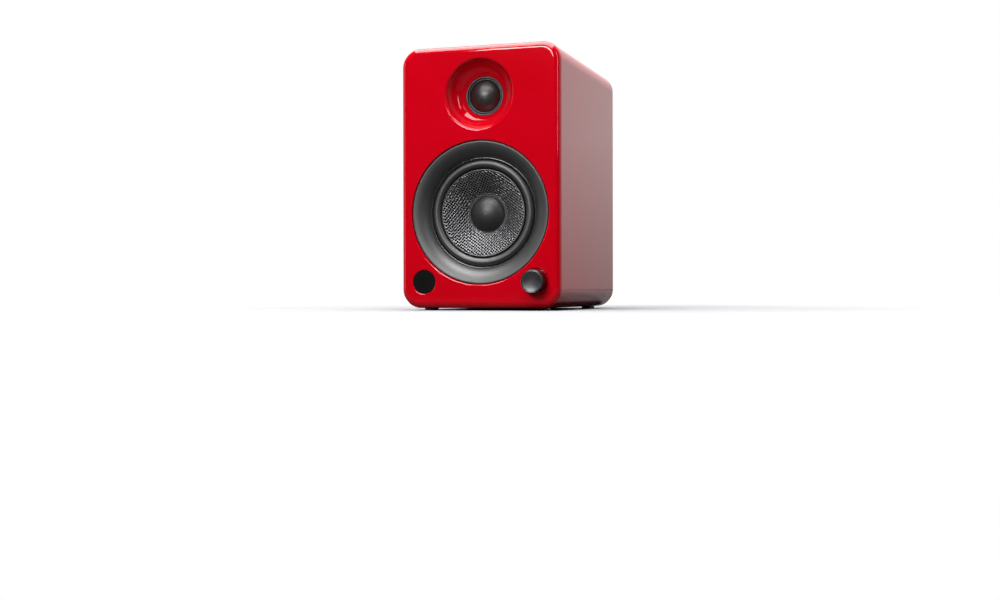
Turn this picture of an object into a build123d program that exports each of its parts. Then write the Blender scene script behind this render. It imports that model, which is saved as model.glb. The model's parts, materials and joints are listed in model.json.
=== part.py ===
from build123d import *

import os
from math import copysign, cos, hypot, pi, radians, sin, sqrt

# A powered two-way bookshelf speaker, in millimetres.
# +Z is up and -Y is the front, so +X is on the right of someone who looks at the front.
# In the names below, a depth is counted backwards from the flat front face, and a height
# (Z) upwards from the underside of the cabinet. The origin is on the floor, under the
# middle of the overall box.

# Cabinet
CABINET_W = 140.0
CABINET_H = 220.0
CABINET_D = 190.0
CORNER_R = 16.0          # long edges of the cabinet
WALL = 10.0
LIP_T = 6.0              # part of the baffle that covers the front edge of the cabinet
FRONT_ROUND = 5.6        # rounded front edge of the baffle
BAFFLE_T = 24.0          # lip and plug together
REAR_T = 12.0            # rear panel
REAR_REBATE = 5.0        # step in the cabinet wall that the rear panel sits on
REAR_EDGE_R = 2.0
SEAT_GAP = 0.1           # glue line or slip fit between fixed pieces
FOOT_R = 6.0
FOOT_T = 2.0
FOOT_ROUND = 0.6
FOOT_INSET = 20.0        # from the sides and ends of the underside to the middle of a foot

# Woofer: trim ring and frame
WOOFER_Z = 80.0
TRIM_LAP = 5.0           # the ring covers the frame's flange and goes this far past it
TRIM_FACE = 14.0         # from the ring's edge to the edge of the surround
TRIM_GAP = 0.4           # black line between the ring and the lacquer
TRIM_SINK = 1.0          # the ring's rim lies this far behind the front face
TRIM_RIM_R = 0.8
TRIM_FLAT = 0.6          # flat top of the rim, before the slope starts
TRIM_SEAT = 5.0          # depth of the step that carries the ring's edge
TRIM_SAG = 2.2           # how far the ring's face bows out from a straight slope
TRIM_LIP_T = 0.7
HOLE_ROUND = 1.0         # rounded lacquered edge of a hole in the baffle
FLANGE_SIDE = 5.0        # between the frame's flange and the cabinet's wall
FLANGE_T = 3.0
FLANGE_DEPTH = 13.0      # front face of the frame's flange
FLANGE_GAP = 0.3
GASKET_T = 1.0
BASKET_WALL = 1.9
BASKET_SLOPE_WALL = 2.1  # wall of the sloping part, along the radius
FLANGE_W = 7.2           # width of the flange outside the frame's neck
BASKET_LEDGE_DEPTH = 35.0
BASKET_LEDGE_R = 37.2
BASKET_STEP_R = 32.6
BASKET_FLOOR_R = 24.0    # opening in the frame's floor
BASKET_FLOOR_DEPTH = 43.0
BASKET_LEGS = 4
BASKET_LEG_ANGLE = 30.0
WINDOW_MARGIN = 3.0      # solid band above and below each window of the frame
FRAME_BORE_GAP = 0.8     # round the frame where it passes the baffle
TAG_PAD_GAP = 0.6        # between the back of the baffle and the pad of the tag strip
TAG_PAD_RISE = 0.6       # of the pad's top over the frame's slope
TAG_PAD_W = 12.0
TAG_PAD_L = 10.0
TAG_STRIP_T = 1.5
TAG_PITCH = 8.0          # between the woofer's two wires

# Woofer: moving parts
ROLL_R = 4.2
ROLL_GAP = 0.3           # between the half-roll and the trim ring
SURROUND_T = 0.8
SURROUND_LAND = 3.0      # glued width outside the roll
SURROUND_INNER_LAND = 1.5
CONE_T = 0.8
CONE_LIP = 2.6           # flat rim of the cone on the surround
CONE_NECK_DEPTH = 27.0
CONE_BOW = 0.8           # how far the cone bows from a straight slope
CAP_R = 16.75
CAP_RIM = 1.25           # flat rim round the dome of the dust cap
CAP_RISE = 6.5
CAP_T = 0.7
FORMER_R = 12.9          # outside of the voice-coil former
FORMER_T = 0.4
FORMER_SHIFT = 1.2       # the former starts this far in front of the cone's neck
FORMER_END_DEPTH = 51.0
COIL_T = 0.75
COIL_L = 10.0
SPIDER_T = 0.8
SPIDER_WAVE = 1.0
SPIDER_FOLDS = 4
SPIDER_LAND = 2.6
SPIDER_RIM_GAP = 0.65    # between the last wave and the step of the frame
GLUE_GAP = 0.05

# Woofer: motor
PLATE_R = 38.0
PLATE_T = 6.0
PLATE_BORE_R = 14.4
MAGNET_R = 42.0
MAGNET_BORE_R = 22.0
MAGNET_T = 15.0
POLE_R = 12.0
POLE_VENT_R = 4.0

# Tweeter
TWEETER_DROP = 41.0      # from the cabinet's top to the tweeter's middle
DISH_R = 29.0
DISH_DEPTH = 15.2
DISH_STEP_R = 19.8
DISH_STEP = 0.8
DISH_BOW = 1.6
DISH_ROUND = 2.0         # rounded rim of the dish
DISH_STEP_ROUND = 0.5    # rounded edge of the step round the tweeter
TWEETER_RING_R = 16.6
TWEETER_RING_GAP = 0.25
TWEETER_RING_T = 1.3
TWEETER_BEAD = 0.4
TWEETER_POCKET_WALL = 0.45  # outside the pocket that holds the surround
TWEETER_LEDGE = 0.45        # under the edge of the surround
TWEETER_SEAT_DEPTH = 20.0
TWEETER_FLANGE_R = 27.0
TWEETER_FLANGE_T = 3.2
TWEETER_GASKET_T = 0.8
DOME_R = 13.6
DOME_RISE = 6.5
DOME_T = 0.45
DOME_DEPTH = 17.0        # plane of the dome's rim
TWEETER_SURROUND_T = 0.35
TWEETER_FORMER_R = 13.2
TWEETER_FORMER_T = 0.25
TWEETER_COIL_T = 0.4
TWEETER_COIL_L = 4.0
TWEETER_PLATE_R = 20.0
TWEETER_PLATE_T = 3.0
TWEETER_GAP_R = 14.2
TWEETER_MAGNET_BORE_R = 16.0
TWEETER_MAGNET_T = 8.0
TWEETER_POLE_R = 12.3
TWEETER_SCREWS = 3
TWEETER_SCREW_R = 23.5

# Controls on the front
CONTROL_INSET = 20.7     # from the cabinet's side to the knob's middle
CONTROL_Z = 22.0
KNOB_R = 9.7
KNOB_REACH = 11.5        # in front of the baffle
KNOB_BEVEL = 0.7
KNOB_DISH = 0.35
KNOB_SKIRT = 2.7         # wall of the knob round its hollow back
KNOB_HOLLOW = 3.9
KNOB_FACE_T = 1.9
WELL_R = 11.0
WELL_DEPTH = 1.2
KNOB_LIFT = 0.9          # between the knob's back and the floor of its well
SHAFT_R = 3.0
SHAFT_FLAT = 1.5
RUN_GAP = 0.05           # radial play of a shaft in its bearing
BUSH_R = 3.5
BUSH_REACH = 3.8         # in front of the well's floor
NUT_ACROSS = 10.0
NUT_T = 2.0
ENCODER_W = 12.0
ENCODER_DEPTH = 6.0      # front face of the encoder's body
ENCODER_T = 6.5
ENCODER_SHELL = 1.0
ENCODER_BACK_T = 0.5
ROTOR_R = 4.1
ROTOR_T = 2.2
PLUNGER_R = 2.0
PLUNGER_T = 1.8
BOARD_T = 1.6
CONTROL_BOARD_W = 14.0
POCKET_GAP = 0.3
WINDOW_R = 9.9
WINDOW_T = 1.6
WINDOW_SINK = 0.4
WINDOW_GAP = 0.15
SIGHT_R = 6.0            # hole behind the remote-control window
RECEIVER_SEAT_DEPTH = 10.0
RECEIVER_W = 5.6
RECEIVER_H = 7.0
RECEIVER_T = 4.5
RECEIVER_LENS = 1.2

# Bass port in the rear panel
PORT_DROP = 48.0         # from the cabinet's top to the port's middle
PORT_R = 19.0
PORT_WALL = 2.0
PORT_L = 78.0
PORT_FLARE_R = 9.0
PORT_FLANGE_R = 31.0
PORT_FLANGE_T = 4.0
PORT_NECK_R = 25.7
PORT_GAP = 0.3

# Damping foam
FOAM_T = 10.0
FOAM_GAP = 0.3
FOAM_LOW_Z = 60.0
FOAM_NEAR = 45.0
FOAM_REAR_GAP = 13.0     # between the foam and the rear panel

# Amplifier plate in the rear panel
AMP_LOW_Z = 14.0         # lower edge of the plate
AMP_PORT_GAP = 11.0      # between the plate and the port's flange
AMP_W = 104.0
AMP_CORNER_R = 5.0
AMP_BORDER = 10.0        # plate in front of solid panel, all round
AMP_T = 3.0
AMP_GASKET_T = 1.0
AMP_GAP = 0.3
STANDOFF_L = 12.0
STANDOFF_R = 3.0
STANDOFF_INSET = 5.0     # from the side of the panel's opening
STANDOFF_UP = 4.0        # from the lower edge of the panel's opening
STANDOFF_HIGH = -3.0     # upper pair, from the plate's middle
BOARD_MARGIN = 3.0       # board round the middle of a standoff
BOARD_SINK_GAP = 5.0     # between the board and the heat sink
SINK_W = 40.0
SINK_T = 4.0
SINK_GAP = 1.0           # between the heat sink and the panel's opening
SINK_L = 42.0
SINK_FOOT = 5.0
SINK_FINS = 6
SINK_FIN_T = 1.5
SINK_FIN_H = 10.0
SINK_FIN_L = 31.0
CHIP_W = 20.0
CHIP_H = 20.0
CHIP_T = 4.5
CHIP_SHIFT = 5.0
CAPACITOR_R = 9.0
CAPACITOR_L = 30.0
CAPACITOR_X = 28.0
CAPACITOR_V = 8.0
CAPACITOR_GROOVE = 0.8
CAPACITOR_GROOVE_UP = 4.5  # from the board to the groove
CORE_W = 28.0
CORE_L = 26.0
CORE_T = 10.0
CORE_LEG = 8.0
CORE_YOKE = 5.0
CORE_WINDOW = 5.0
CORE_V = -22.0
WINDING_GAP = 0.3
WINDING_CORNER_R = 2.2

# Sockets, switch and binding posts. V is counted up from the middle of the amplifier plate
INLET_SIDE = 26.0        # from the plate's side to the inlet's middle
MAINS_UP = 29.0          # from the plate's lower edge to the inlet and the switch
INLET_W = 24.0
INLET_H = 13.0
INLET_FLANGE = 2.0
INLET_FLANGE_T = 2.0
INLET_L = 13.5
INLET_WALL = 1.8
INLET_FLOOR = 3.5
PIN_R = 1.2
PIN_PITCH = 8.6
PIN_SINK = 3.0
SWITCH_X = 12.0
SWITCH_W = 14.0
SWITCH_H = 20.0
SWITCH_L = 12.0
SWITCH_WALL = 1.2
SWITCH_FLANGE = 1.3
SWITCH_FLANGE_T = 2.0
ROCKER_R = 8.5
ROCKER_AXIS = 1.5        # pivot in front of the plate's outer face, counted inwards
ROCKER_TOP = 2.8
ROCKER_RISE = 1.2
ROCKER_BELLY = 4.0
ROCKER_GAP = 0.3
ROCKER_TILT = 11.0
ROCKER_PIN_R = 1.0
ROCKER_PIN_L = 0.9
PHONO_SIDE = 20.0        # from the plate's side to the outer phono socket
PHONO_PITCH = 16.0
SOCKET_DROP = 28.0       # from the plate's upper edge to the sockets
PHONO_R = 4.15
PHONO_WALL = 0.8
PHONO_REACH = 9.0
PHONO_ROOT = 2.0
PHONO_BORE_R = 1.65
PHONO_BORE_L = 10.0
PHONO_INSERT_SINK = 0.8
PHONO_BLOCK_MARGIN = 5.0
PHONO_BLOCK_RISE = 2.5
AUX_PITCH = 20.0         # from the inner phono socket
AUX_W = 12.0
AUX_BARREL_R = 3.9
AUX_REACH = 2.5
AUX_BORE_R = 1.8
AUX_BORE_L = 14.0
POST_SIDE = 18.5         # from the plate's side to the outer post
POST_PITCH = 19.0
POST_V = 6.0
POST_REACH = 19.0        # behind the cabinet
POST_BASE_R = 7.5
POST_BASE_T = 4.0
POST_BASE_ROUND = 1.0
POST_SPIGOT_R = 4.4
STUD_R = 3.0
STUD_BORE_R = 2.05
STUD_BORE_L = 15.0
STUD_SHOULDER_R = 4.2
STUD_SHOULDER_T = 1.6
STUD_TAIL = 8.0
CLAMP_R = 5.5
CLAMP_T = 1.0
THUMB_R = 6.0
THUMB_FLUTES = 10
THUMB_FLUTE_R = 0.8
THUMB_SINK = 0.5         # the stud shows this far behind its thumb nut
HOLE_GAP = 0.2           # round a socket where it passes the plate

# Fasteners and wires
CSK_R = 3.4
CSK_T = 2.0
CSK_SHANK_R = 1.75
CSK_L = 10.0
CSK_INSET = 3.2          # from the flange's edge to the screws' circle
PAN_R = 2.8
PAN_T = 1.8
PAN_SHANK_R = 1.5
PAN_L = 10.0
SCREW_GAP = 0.1
WIRE_R = 0.8
WIRE_BEND = 8.0
WIRE_RISE = 9.0          # the woofer's wires leave the tag strip straight for this long
WIRE_DROP_GAP = 24.0     # between the heat sink and the wires that come down in front of it
WIRE_TURN_GAP = 40.0     # between the bass port and the bend of the tweeter's wires
WIRE_UP = 14.0           # upper pair on the board, from the plate's middle
WIRE_ROW = 8.0           # between the two pairs where they meet the board
TWEETER_WIRE_PITCH = 24.0
SOLDER_GAP = 0.3

# Derived places
FLANGE_R = CABINET_W / 2 - WALL - FLANGE_SIDE
TRIM_R = FLANGE_R + TRIM_LAP
TRIM_IN_R = TRIM_R - TRIM_FACE
ROLL_MID_R = TRIM_IN_R - ROLL_GAP - ROLL_R        # crest of the half-roll surround
BASKET_NECK_R = FLANGE_R - FLANGE_W               # outside of the frame behind its flange
CSK_CIRCLE_R = FLANGE_R - CSK_INSET
TWEETER_Z = CABINET_H - TWEETER_DROP
CONTROL_X = CABINET_W / 2 - CONTROL_INSET
PORT_Z = CABINET_H - PORT_DROP
FOAM_FAR = CABINET_D - REAR_T - FOAM_REAR_GAP
AMP_H = PORT_Z - PORT_FLANGE_R - AMP_PORT_GAP - AMP_LOW_Z
AMP_Z = AMP_LOW_Z + AMP_H / 2
STANDOFF_X = AMP_W / 2 - AMP_BORDER - STANDOFF_INSET
STANDOFF_LOW = AMP_BORDER + STANDOFF_UP - AMP_H / 2
SINK_LOW = AMP_H / 2 - AMP_BORDER - SINK_GAP - SINK_T  # underside of the heat sink
AMP_BOARD_W = 2 * (STANDOFF_X + BOARD_MARGIN)
AMP_BOARD_LOW = STANDOFF_LOW - BOARD_MARGIN
AMP_BOARD_HIGH = SINK_LOW - BOARD_SINK_GAP
INLET_X = INLET_SIDE - AMP_W / 2
INLET_V = SWITCH_V = MAINS_UP - AMP_H / 2
PHONO_X = (PHONO_SIDE - AMP_W / 2, PHONO_SIDE + PHONO_PITCH - AMP_W / 2)
AUX_X = PHONO_X[1] + AUX_PITCH
PHONO_V = AUX_V = AMP_H / 2 - SOCKET_DROP
POST_X = (AMP_W / 2 - POST_SIDE - POST_PITCH, AMP_W / 2 - POST_SIDE)
FRONT_Y = -(CABINET_D + POST_REACH - KNOB_REACH) / 2
FACE = Plane((0, FRONT_Y, FOOT_T), x_dir=(1, 0, 0), z_dir=(0, -1, 0))
PLATE_IN = CABINET_D - AMP_T                      # inner face of the amplifier plate
AMP_BOARD_BACK = PLATE_IN - STANDOFF_L
AMP_BOARD_FRONT = AMP_BOARD_BACK - BOARD_T
FLANGE_SEAT = FLANGE_DEPTH + FLANGE_T + GASKET_T  # step in the baffle under the gasket
ROLL_DEPTH = FLANGE_DEPTH - SURROUND_T / 2        # middle plane of the surround's lands
SURROUND_FRONT = FLANGE_DEPTH - SURROUND_T
PLATE_DEPTH = BASKET_FLOOR_DEPTH
MAGNET_DEPTH = PLATE_DEPTH + PLATE_T
YOKE_DEPTH = MAGNET_DEPTH + MAGNET_T
TWEETER_FLANGE_DEPTH = TWEETER_SEAT_DEPTH + TWEETER_GASKET_T
TWEETER_PLATE_DEPTH = TWEETER_FLANGE_DEPTH + TWEETER_FLANGE_T
TWEETER_MAGNET_DEPTH = TWEETER_PLATE_DEPTH + TWEETER_PLATE_T
TWEETER_YOKE_DEPTH = TWEETER_MAGNET_DEPTH + TWEETER_MAGNET_T
CONE_RIM_R = ROLL_MID_R - ROLL_R - GLUE_GAP        # outer edge of the cone's flat rim
CONE_FRONT = SURROUND_FRONT - CONE_T
POST_BASE_END = CABINET_D + POST_BASE_T
CLAMP_DEPTH = POST_BASE_END + GLUE_GAP
THUMB_DEPTH = CLAMP_DEPTH + CLAMP_T + GLUE_GAP


# Small tools for the shapes below

def slab(sketch, near, far):
    """A sketch of X and height, pushed from one depth to another."""
    return extrude(FACE.offset(-near) * sketch, amount=near - far)


def disc(x, z, radius, near, far):
    return slab(Pos(x, z) * Circle(radius), near, far)


def ring(x, z, inner, outer, near, far):
    return slab(Pos(x, z) * (Circle(outer) - Circle(inner)), near, far)


def block(x, z, width, height, near, far, corner=0.0):
    outline = RectangleRounded(width, height, corner) if corner else Rectangle(width, height)
    return slab(Pos(x, z) * outline, near, far)


def turned(x, z, *edges):
    """A solid of revolution about a front-to-back axis. Its outline holds radius and depth."""
    outline = make_face(Curve() + list(edges))
    return Pos(x, FRONT_Y, FOOT_T + z) * revolve(outline, Axis.Y)


def line(*points):
    return Polyline(*points)


def bowed(start, end, sag):
    """An arc from start to end. It bows by sag to the left of the way from start to end."""
    step = (end[0] - start[0], end[1] - start[1])
    length = hypot(*step)
    middle = (
        (start[0] + end[0]) / 2 - step[1] / length * sag,
        (start[1] + end[1]) / 2 + step[0] / length * sag,
    )
    return ThreePointArc(start, middle, end)


def rounded(start, end, centre):
    """A quarter circle from start to end about centre."""
    radius = hypot(start[0] - centre[0], start[1] - centre[1])
    middle = (start[0] + end[0] - 2 * centre[0], start[1] + end[1] - 2 * centre[1])
    scale = radius / hypot(*middle)
    return ThreePointArc(start, (centre[0] + middle[0] * scale, centre[1] + middle[1] * scale), end)


def around(count, radius, start=0.0):
    """Places evenly spaced on a circle, as (X, height) from its middle."""
    turns = (radians(start + 360 / count * i) for i in range(count))
    return [(radius * cos(turn), radius * sin(turn)) for turn in turns]


def cabinet_face(inset):
    """The cabinet's outline, drawn in by inset all round."""
    size = (CABINET_W - 2 * inset, CABINET_H - 2 * inset)
    return Pos(0, CABINET_H / 2) * RectangleRounded(*size, CORNER_R - inset)


def hole_edge(radius, depth):
    """Outline of a round hole with a rounded lacquered rim, from the axis to its wall at depth."""
    rim = radius + HOLE_ROUND
    return [
        line((0, -HOLE_ROUND), (rim, -HOLE_ROUND), (rim, 0)),
        rounded((rim, 0), (radius, HOLE_ROUND), (rim, HOLE_ROUND)),
        line((radius, HOLE_ROUND), (radius, depth)),
    ]


def pan_screw(x, z, seat):
    """A pan-head screw driven forwards, with its head on the seat."""
    shank = disc(x, z, PAN_SHANK_R, seat - PAN_L, seat)
    return shank + disc(x, z, PAN_R, seat, seat + PAN_T)


def screw_hole(x, z, seat):
    """Pilot hole for a screw driven forwards from seat."""
    return disc(x, z, PAN_SHANK_R + SCREW_GAP, seat - PAN_L - SCREW_GAP, seat)


def csk_outline(gap):
    return [line(
        (0, FLANGE_DEPTH), (CSK_R + gap, FLANGE_DEPTH),
        (CSK_SHANK_R + gap, FLANGE_DEPTH + CSK_T),
        (CSK_SHANK_R + gap, FLANGE_DEPTH + CSK_L + gap),
        (0, FLANGE_DEPTH + CSK_L + gap), (0, FLANGE_DEPTH),
    )]


def csk_screws(gap=0.0):
    """The four countersunk screws of the woofer, or the holes they sit in."""
    places = around(BASKET_LEGS, CSK_CIRCLE_R, 45)
    return [turned(x, WOOFER_Z + z, *csk_outline(gap)) for x, z in places]


def tweeter_screw_places():
    return [(x, TWEETER_Z + z) for x, z in around(TWEETER_SCREWS, TWEETER_SCREW_R, 90)]


def amp_screw_places():
    side = AMP_W / 2 - AMP_BORDER / 2
    end = AMP_H / 2 - AMP_BORDER / 2
    corners = [(x, v) for x in (-side, side) for v in (-end, 0, end)]
    return [(x, AMP_Z + v) for x, v in corners + [(0, -end), (0, end)]]


def post_places():
    return [(x, AMP_Z + POST_V) for x in POST_X]


def phono_places():
    return [(x, AMP_Z + PHONO_V) for x in PHONO_X]


def wire(*points):
    """A round wire along straight runs with rounded bends, from (X, depth, height) points."""
    route = [Vector(x, FRONT_Y + depth, FOOT_T + z) for x, depth, z in points]
    path = FilletPolyline(*route, radius=WIRE_BEND)
    start = Plane(path @ 0, z_dir=path % 0)
    return sweep(start * Circle(WIRE_R), path)


# Cabinet

def cabinet_wrap():
    body = slab(cabinet_face(0), LIP_T, CABINET_D)
    body = fillet(body.faces().sort_by(Axis.Y)[-1].edges(), REAR_EDGE_R)
    body -= slab(cabinet_face(WALL), LIP_T, CABINET_D)
    return body - slab(cabinet_face(WALL - REAR_REBATE), CABINET_D - REAR_T, CABINET_D)


def woofer_hole():
    flange_r = FLANGE_R + FLANGE_GAP
    bore_r = BASKET_NECK_R + FRAME_BORE_GAP
    behind = BAFFLE_T + HOLE_ROUND
    return turned(
        0, WOOFER_Z, *hole_edge(TRIM_R + TRIM_GAP, TRIM_SEAT),
        line((TRIM_R + TRIM_GAP, TRIM_SEAT), (flange_r, TRIM_SEAT), (flange_r, FLANGE_SEAT),
             (bore_r, FLANGE_SEAT), (bore_r, behind), (0, behind), (0, -HOLE_ROUND)),
    )


def tweeter_dish():
    step_depth = DISH_DEPTH - DISH_STEP
    hole_r = TWEETER_RING_R + TWEETER_RING_GAP
    seat_r = TWEETER_FLANGE_R + SEAT_GAP + FLANGE_GAP
    rim = DISH_R + DISH_ROUND
    edge = DISH_STEP_R + DISH_STEP_ROUND
    behind = BAFFLE_T + HOLE_ROUND
    return turned(
        0, TWEETER_Z,
        line((0, -HOLE_ROUND), (rim, -HOLE_ROUND), (rim, 0)),
        rounded((rim, 0), (DISH_R, DISH_ROUND), (rim, DISH_ROUND)),
        bowed((DISH_R, DISH_ROUND), (edge, step_depth), -DISH_BOW),
        rounded((edge, step_depth), (DISH_STEP_R, step_depth + DISH_STEP_ROUND),
                (edge, step_depth + DISH_STEP_ROUND)),
        line((DISH_STEP_R, step_depth + DISH_STEP_ROUND), (DISH_STEP_R, DISH_DEPTH),
             (hole_r, DISH_DEPTH), (hole_r, TWEETER_SEAT_DEPTH), (seat_r, TWEETER_SEAT_DEPTH),
             (seat_r, behind), (0, behind), (0, -HOLE_ROUND)),
    )


def knob_well():
    well = turned(CONTROL_X, CONTROL_Z, *hole_edge(WELL_R, WELL_DEPTH),
                  line((WELL_R, WELL_DEPTH), (0, WELL_DEPTH), (0, -HOLE_ROUND)))
    bush = disc(CONTROL_X, CONTROL_Z, BUSH_R + SEAT_GAP, WELL_DEPTH, ENCODER_DEPTH)
    pocket_w = CONTROL_BOARD_W + 2 * POCKET_GAP
    return well + bush + block(CONTROL_X, CONTROL_Z, pocket_w, pocket_w, ENCODER_DEPTH, BAFFLE_T)


def window_hole():
    seat = WINDOW_SINK + WINDOW_T
    radius = WINDOW_R + WINDOW_GAP
    step = turned(-CONTROL_X, CONTROL_Z, *hole_edge(radius, seat),
                  line((radius, seat), (0, seat), (0, -HOLE_ROUND)))
    sight = disc(-CONTROL_X, CONTROL_Z, SIGHT_R, seat, RECEIVER_SEAT_DEPTH)
    pocket_w = CONTROL_BOARD_W + 2 * POCKET_GAP
    pocket = block(-CONTROL_X, CONTROL_Z, pocket_w, pocket_w, RECEIVER_SEAT_DEPTH, BAFFLE_T)
    return step + sight + pocket


def front_baffle():
    lip = slab(cabinet_face(0), 0, LIP_T)
    lip = fillet(lip.faces().sort_by(Axis.Y)[0].edges(), FRONT_ROUND)
    baffle = lip + slab(cabinet_face(WALL + SEAT_GAP), LIP_T, BAFFLE_T)
    baffle -= woofer_hole()
    baffle -= tweeter_dish()
    baffle -= knob_well()
    baffle -= window_hole()
    for hole in csk_screws(SCREW_GAP):
        baffle -= hole
    for x, z in tweeter_screw_places():
        baffle -= screw_hole(x, z, TWEETER_PLATE_DEPTH)
    return baffle


def rear_panel():
    front = CABINET_D - REAR_T
    panel = slab(cabinet_face(WALL - REAR_REBATE + SEAT_GAP), front, CABINET_D)
    panel -= disc(0, PORT_Z, PORT_NECK_R + PORT_GAP, front, CABINET_D)
    panel -= disc(0, PORT_Z, PORT_FLANGE_R + PORT_GAP, CABINET_D - PORT_FLANGE_T, CABINET_D)
    opening = (AMP_W - 2 * AMP_BORDER, AMP_H - 2 * AMP_BORDER)
    panel -= block(0, AMP_Z, *opening, front, CABINET_D, AMP_CORNER_R)
    recess = (AMP_W + 2 * AMP_GAP, AMP_H + 2 * AMP_GAP)
    step = PLATE_IN - AMP_GASKET_T
    panel -= block(0, AMP_Z, *recess, step, CABINET_D, AMP_CORNER_R + AMP_GAP)
    for x, z in amp_screw_places():
        panel -= screw_hole(x, z, CABINET_D)
    return panel


def bass_port():
    outer = PORT_R + PORT_WALL
    mouth_r = PORT_R + PORT_FLARE_R
    throat = CABINET_D - PORT_FLARE_R
    inner_end = CABINET_D - PORT_L
    flange = CABINET_D - PORT_FLANGE_T
    neck = flange - PORT_WALL
    return turned(
        0, PORT_Z,
        line((PORT_R, throat), (PORT_R, inner_end), (outer, inner_end),
             (outer, throat - PORT_WALL), (PORT_NECK_R, neck), (PORT_NECK_R, flange),
             (PORT_FLANGE_R, flange), (PORT_FLANGE_R, CABINET_D), (mouth_r, CABINET_D)),
        rounded((mouth_r, CABINET_D), (PORT_R, throat), (mouth_r, throat)),
    )


def damping_foam():
    outer = WALL + FOAM_GAP
    sheet = slab(cabinet_face(outer), FOAM_NEAR, FOAM_FAR)
    core_w = CABINET_W - 2 * (outer + FOAM_T)
    core_h = CABINET_H - 2 * (outer + FOAM_T)
    sheet -= block(0, CABINET_H / 2, core_w, core_h, FOAM_NEAR, FOAM_FAR)
    return sheet - block(0, FOAM_LOW_Z / 2, CABINET_W, FOAM_LOW_Z, FOAM_NEAR, FOAM_FAR)


def rubber_feet():
    side = CABINET_W / 2 - FOOT_INSET
    feet = []
    for x in (-side, side):
        for depth in (FOOT_INSET, CABINET_D - FOOT_INSET):
            foot = Pos(x, FRONT_Y + depth, 0) * extrude(Circle(FOOT_R), amount=FOOT_T)
            feet.append(fillet(foot.faces().sort_by(Axis.Z)[0].edges(), FOOT_ROUND))
    return feet


# Woofer

def woofer_trim_ring():
    rim_in = TRIM_R - TRIM_RIM_R - TRIM_FLAT
    lip_front = SURROUND_FRONT - SEAT_GAP - TRIM_LIP_T
    land_r = ROLL_MID_R + ROLL_R + SURROUND_LAND + SEAT_GAP
    inner_r = FLANGE_R - FLANGE_GAP
    return turned(
        0, WOOFER_Z,
        line((inner_r, TRIM_SEAT), (TRIM_R, TRIM_SEAT), (TRIM_R, TRIM_SINK + TRIM_RIM_R)),
        rounded((TRIM_R, TRIM_SINK + TRIM_RIM_R), (TRIM_R - TRIM_RIM_R, TRIM_SINK),
                (TRIM_R - TRIM_RIM_R, TRIM_SINK + TRIM_RIM_R)),
        line((TRIM_R - TRIM_RIM_R, TRIM_SINK), (rim_in, TRIM_SINK)),
        bowed((rim_in, TRIM_SINK), (TRIM_IN_R, lip_front), TRIM_SAG),
        line((TRIM_IN_R, lip_front), (TRIM_IN_R, lip_front + TRIM_LIP_T),
             (land_r, lip_front + TRIM_LIP_T), (land_r, FLANGE_DEPTH),
             (inner_r, FLANGE_DEPTH), (inner_r, TRIM_SEAT)),
    )


def basket_slope(depth):
    """Outer radius of the frame's sloping wall at a depth."""
    flange_back = FLANGE_DEPTH + FLANGE_T
    ledge_back = BASKET_LEDGE_DEPTH + BASKET_WALL
    share = (depth - flange_back) / (ledge_back - flange_back)
    return BASKET_NECK_R + share * (BASKET_LEDGE_R - BASKET_NECK_R)


def basket_pad_span():
    near = BAFFLE_T + TAG_PAD_GAP
    return near, near + TAG_PAD_L


def basket_pad_top():
    return basket_slope(basket_pad_span()[0]) + TAG_PAD_RISE


def woofer_basket():
    flange_back = FLANGE_DEPTH + FLANGE_T
    ledge_back = BASKET_LEDGE_DEPTH + BASKET_WALL
    inner_r = ROLL_MID_R + ROLL_R - SURROUND_T
    frame = turned(0, WOOFER_Z, line(
        (0, FLANGE_DEPTH), (FLANGE_R, FLANGE_DEPTH), (FLANGE_R, flange_back),
        (BASKET_NECK_R, flange_back), (BASKET_LEDGE_R, ledge_back),
        (BASKET_STEP_R, ledge_back), (BASKET_STEP_R, BASKET_FLOOR_DEPTH),
        (0, BASKET_FLOOR_DEPTH), (0, FLANGE_DEPTH),
    ))
    near, far = basket_pad_span()
    pad_h = basket_pad_top() - BASKET_STEP_R
    frame += block(0, WOOFER_Z + BASKET_STEP_R + pad_h / 2, TAG_PAD_W, pad_h, near, far)
    wall = BASKET_SLOPE_WALL
    neck = flange_back - FLANGE_T / 2
    step_r = BASKET_STEP_R - BASKET_WALL
    frame -= turned(0, WOOFER_Z, line(
        (0, FLANGE_DEPTH), (inner_r, FLANGE_DEPTH), (basket_slope(neck) - wall, neck),
        (basket_slope(BASKET_LEDGE_DEPTH) - wall, BASKET_LEDGE_DEPTH),
        (step_r, BASKET_LEDGE_DEPTH), (step_r, BASKET_FLOOR_DEPTH - BASKET_WALL),
        (BASKET_FLOOR_R, BASKET_FLOOR_DEPTH - BASKET_WALL),
        (BASKET_FLOOR_R, BASKET_FLOOR_DEPTH), (0, BASKET_FLOOR_DEPTH), (0, FLANGE_DEPTH),
    ))
    pitch = 360 / BASKET_LEGS
    band = make_face(line(
        (BASKET_STEP_R, flange_back + WINDOW_MARGIN), (FLANGE_R, flange_back + WINDOW_MARGIN),
        (FLANGE_R, BASKET_LEDGE_DEPTH - WINDOW_MARGIN),
        (BASKET_STEP_R, BASKET_LEDGE_DEPTH - WINDOW_MARGIN),
        (BASKET_STEP_R, flange_back + WINDOW_MARGIN),
    ))
    window = revolve(band, Axis.Y, pitch - BASKET_LEG_ANGLE)
    for leg in range(BASKET_LEGS):
        turn = Rot(0, BASKET_LEG_ANGLE / 2 + leg * pitch, 0)
        frame -= Pos(0, FRONT_Y, FOOT_T + WOOFER_Z) * turn * window
    for hole in csk_screws(SCREW_GAP):
        frame -= hole
    return frame


def woofer_tag_strip():
    near, far = basket_pad_span()
    strip_z = WOOFER_Z + basket_pad_top() + TAG_STRIP_T / 2
    return block(0, strip_z, TAG_PAD_W + 2 * TAG_STRIP_T, TAG_STRIP_T, near, far)


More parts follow.
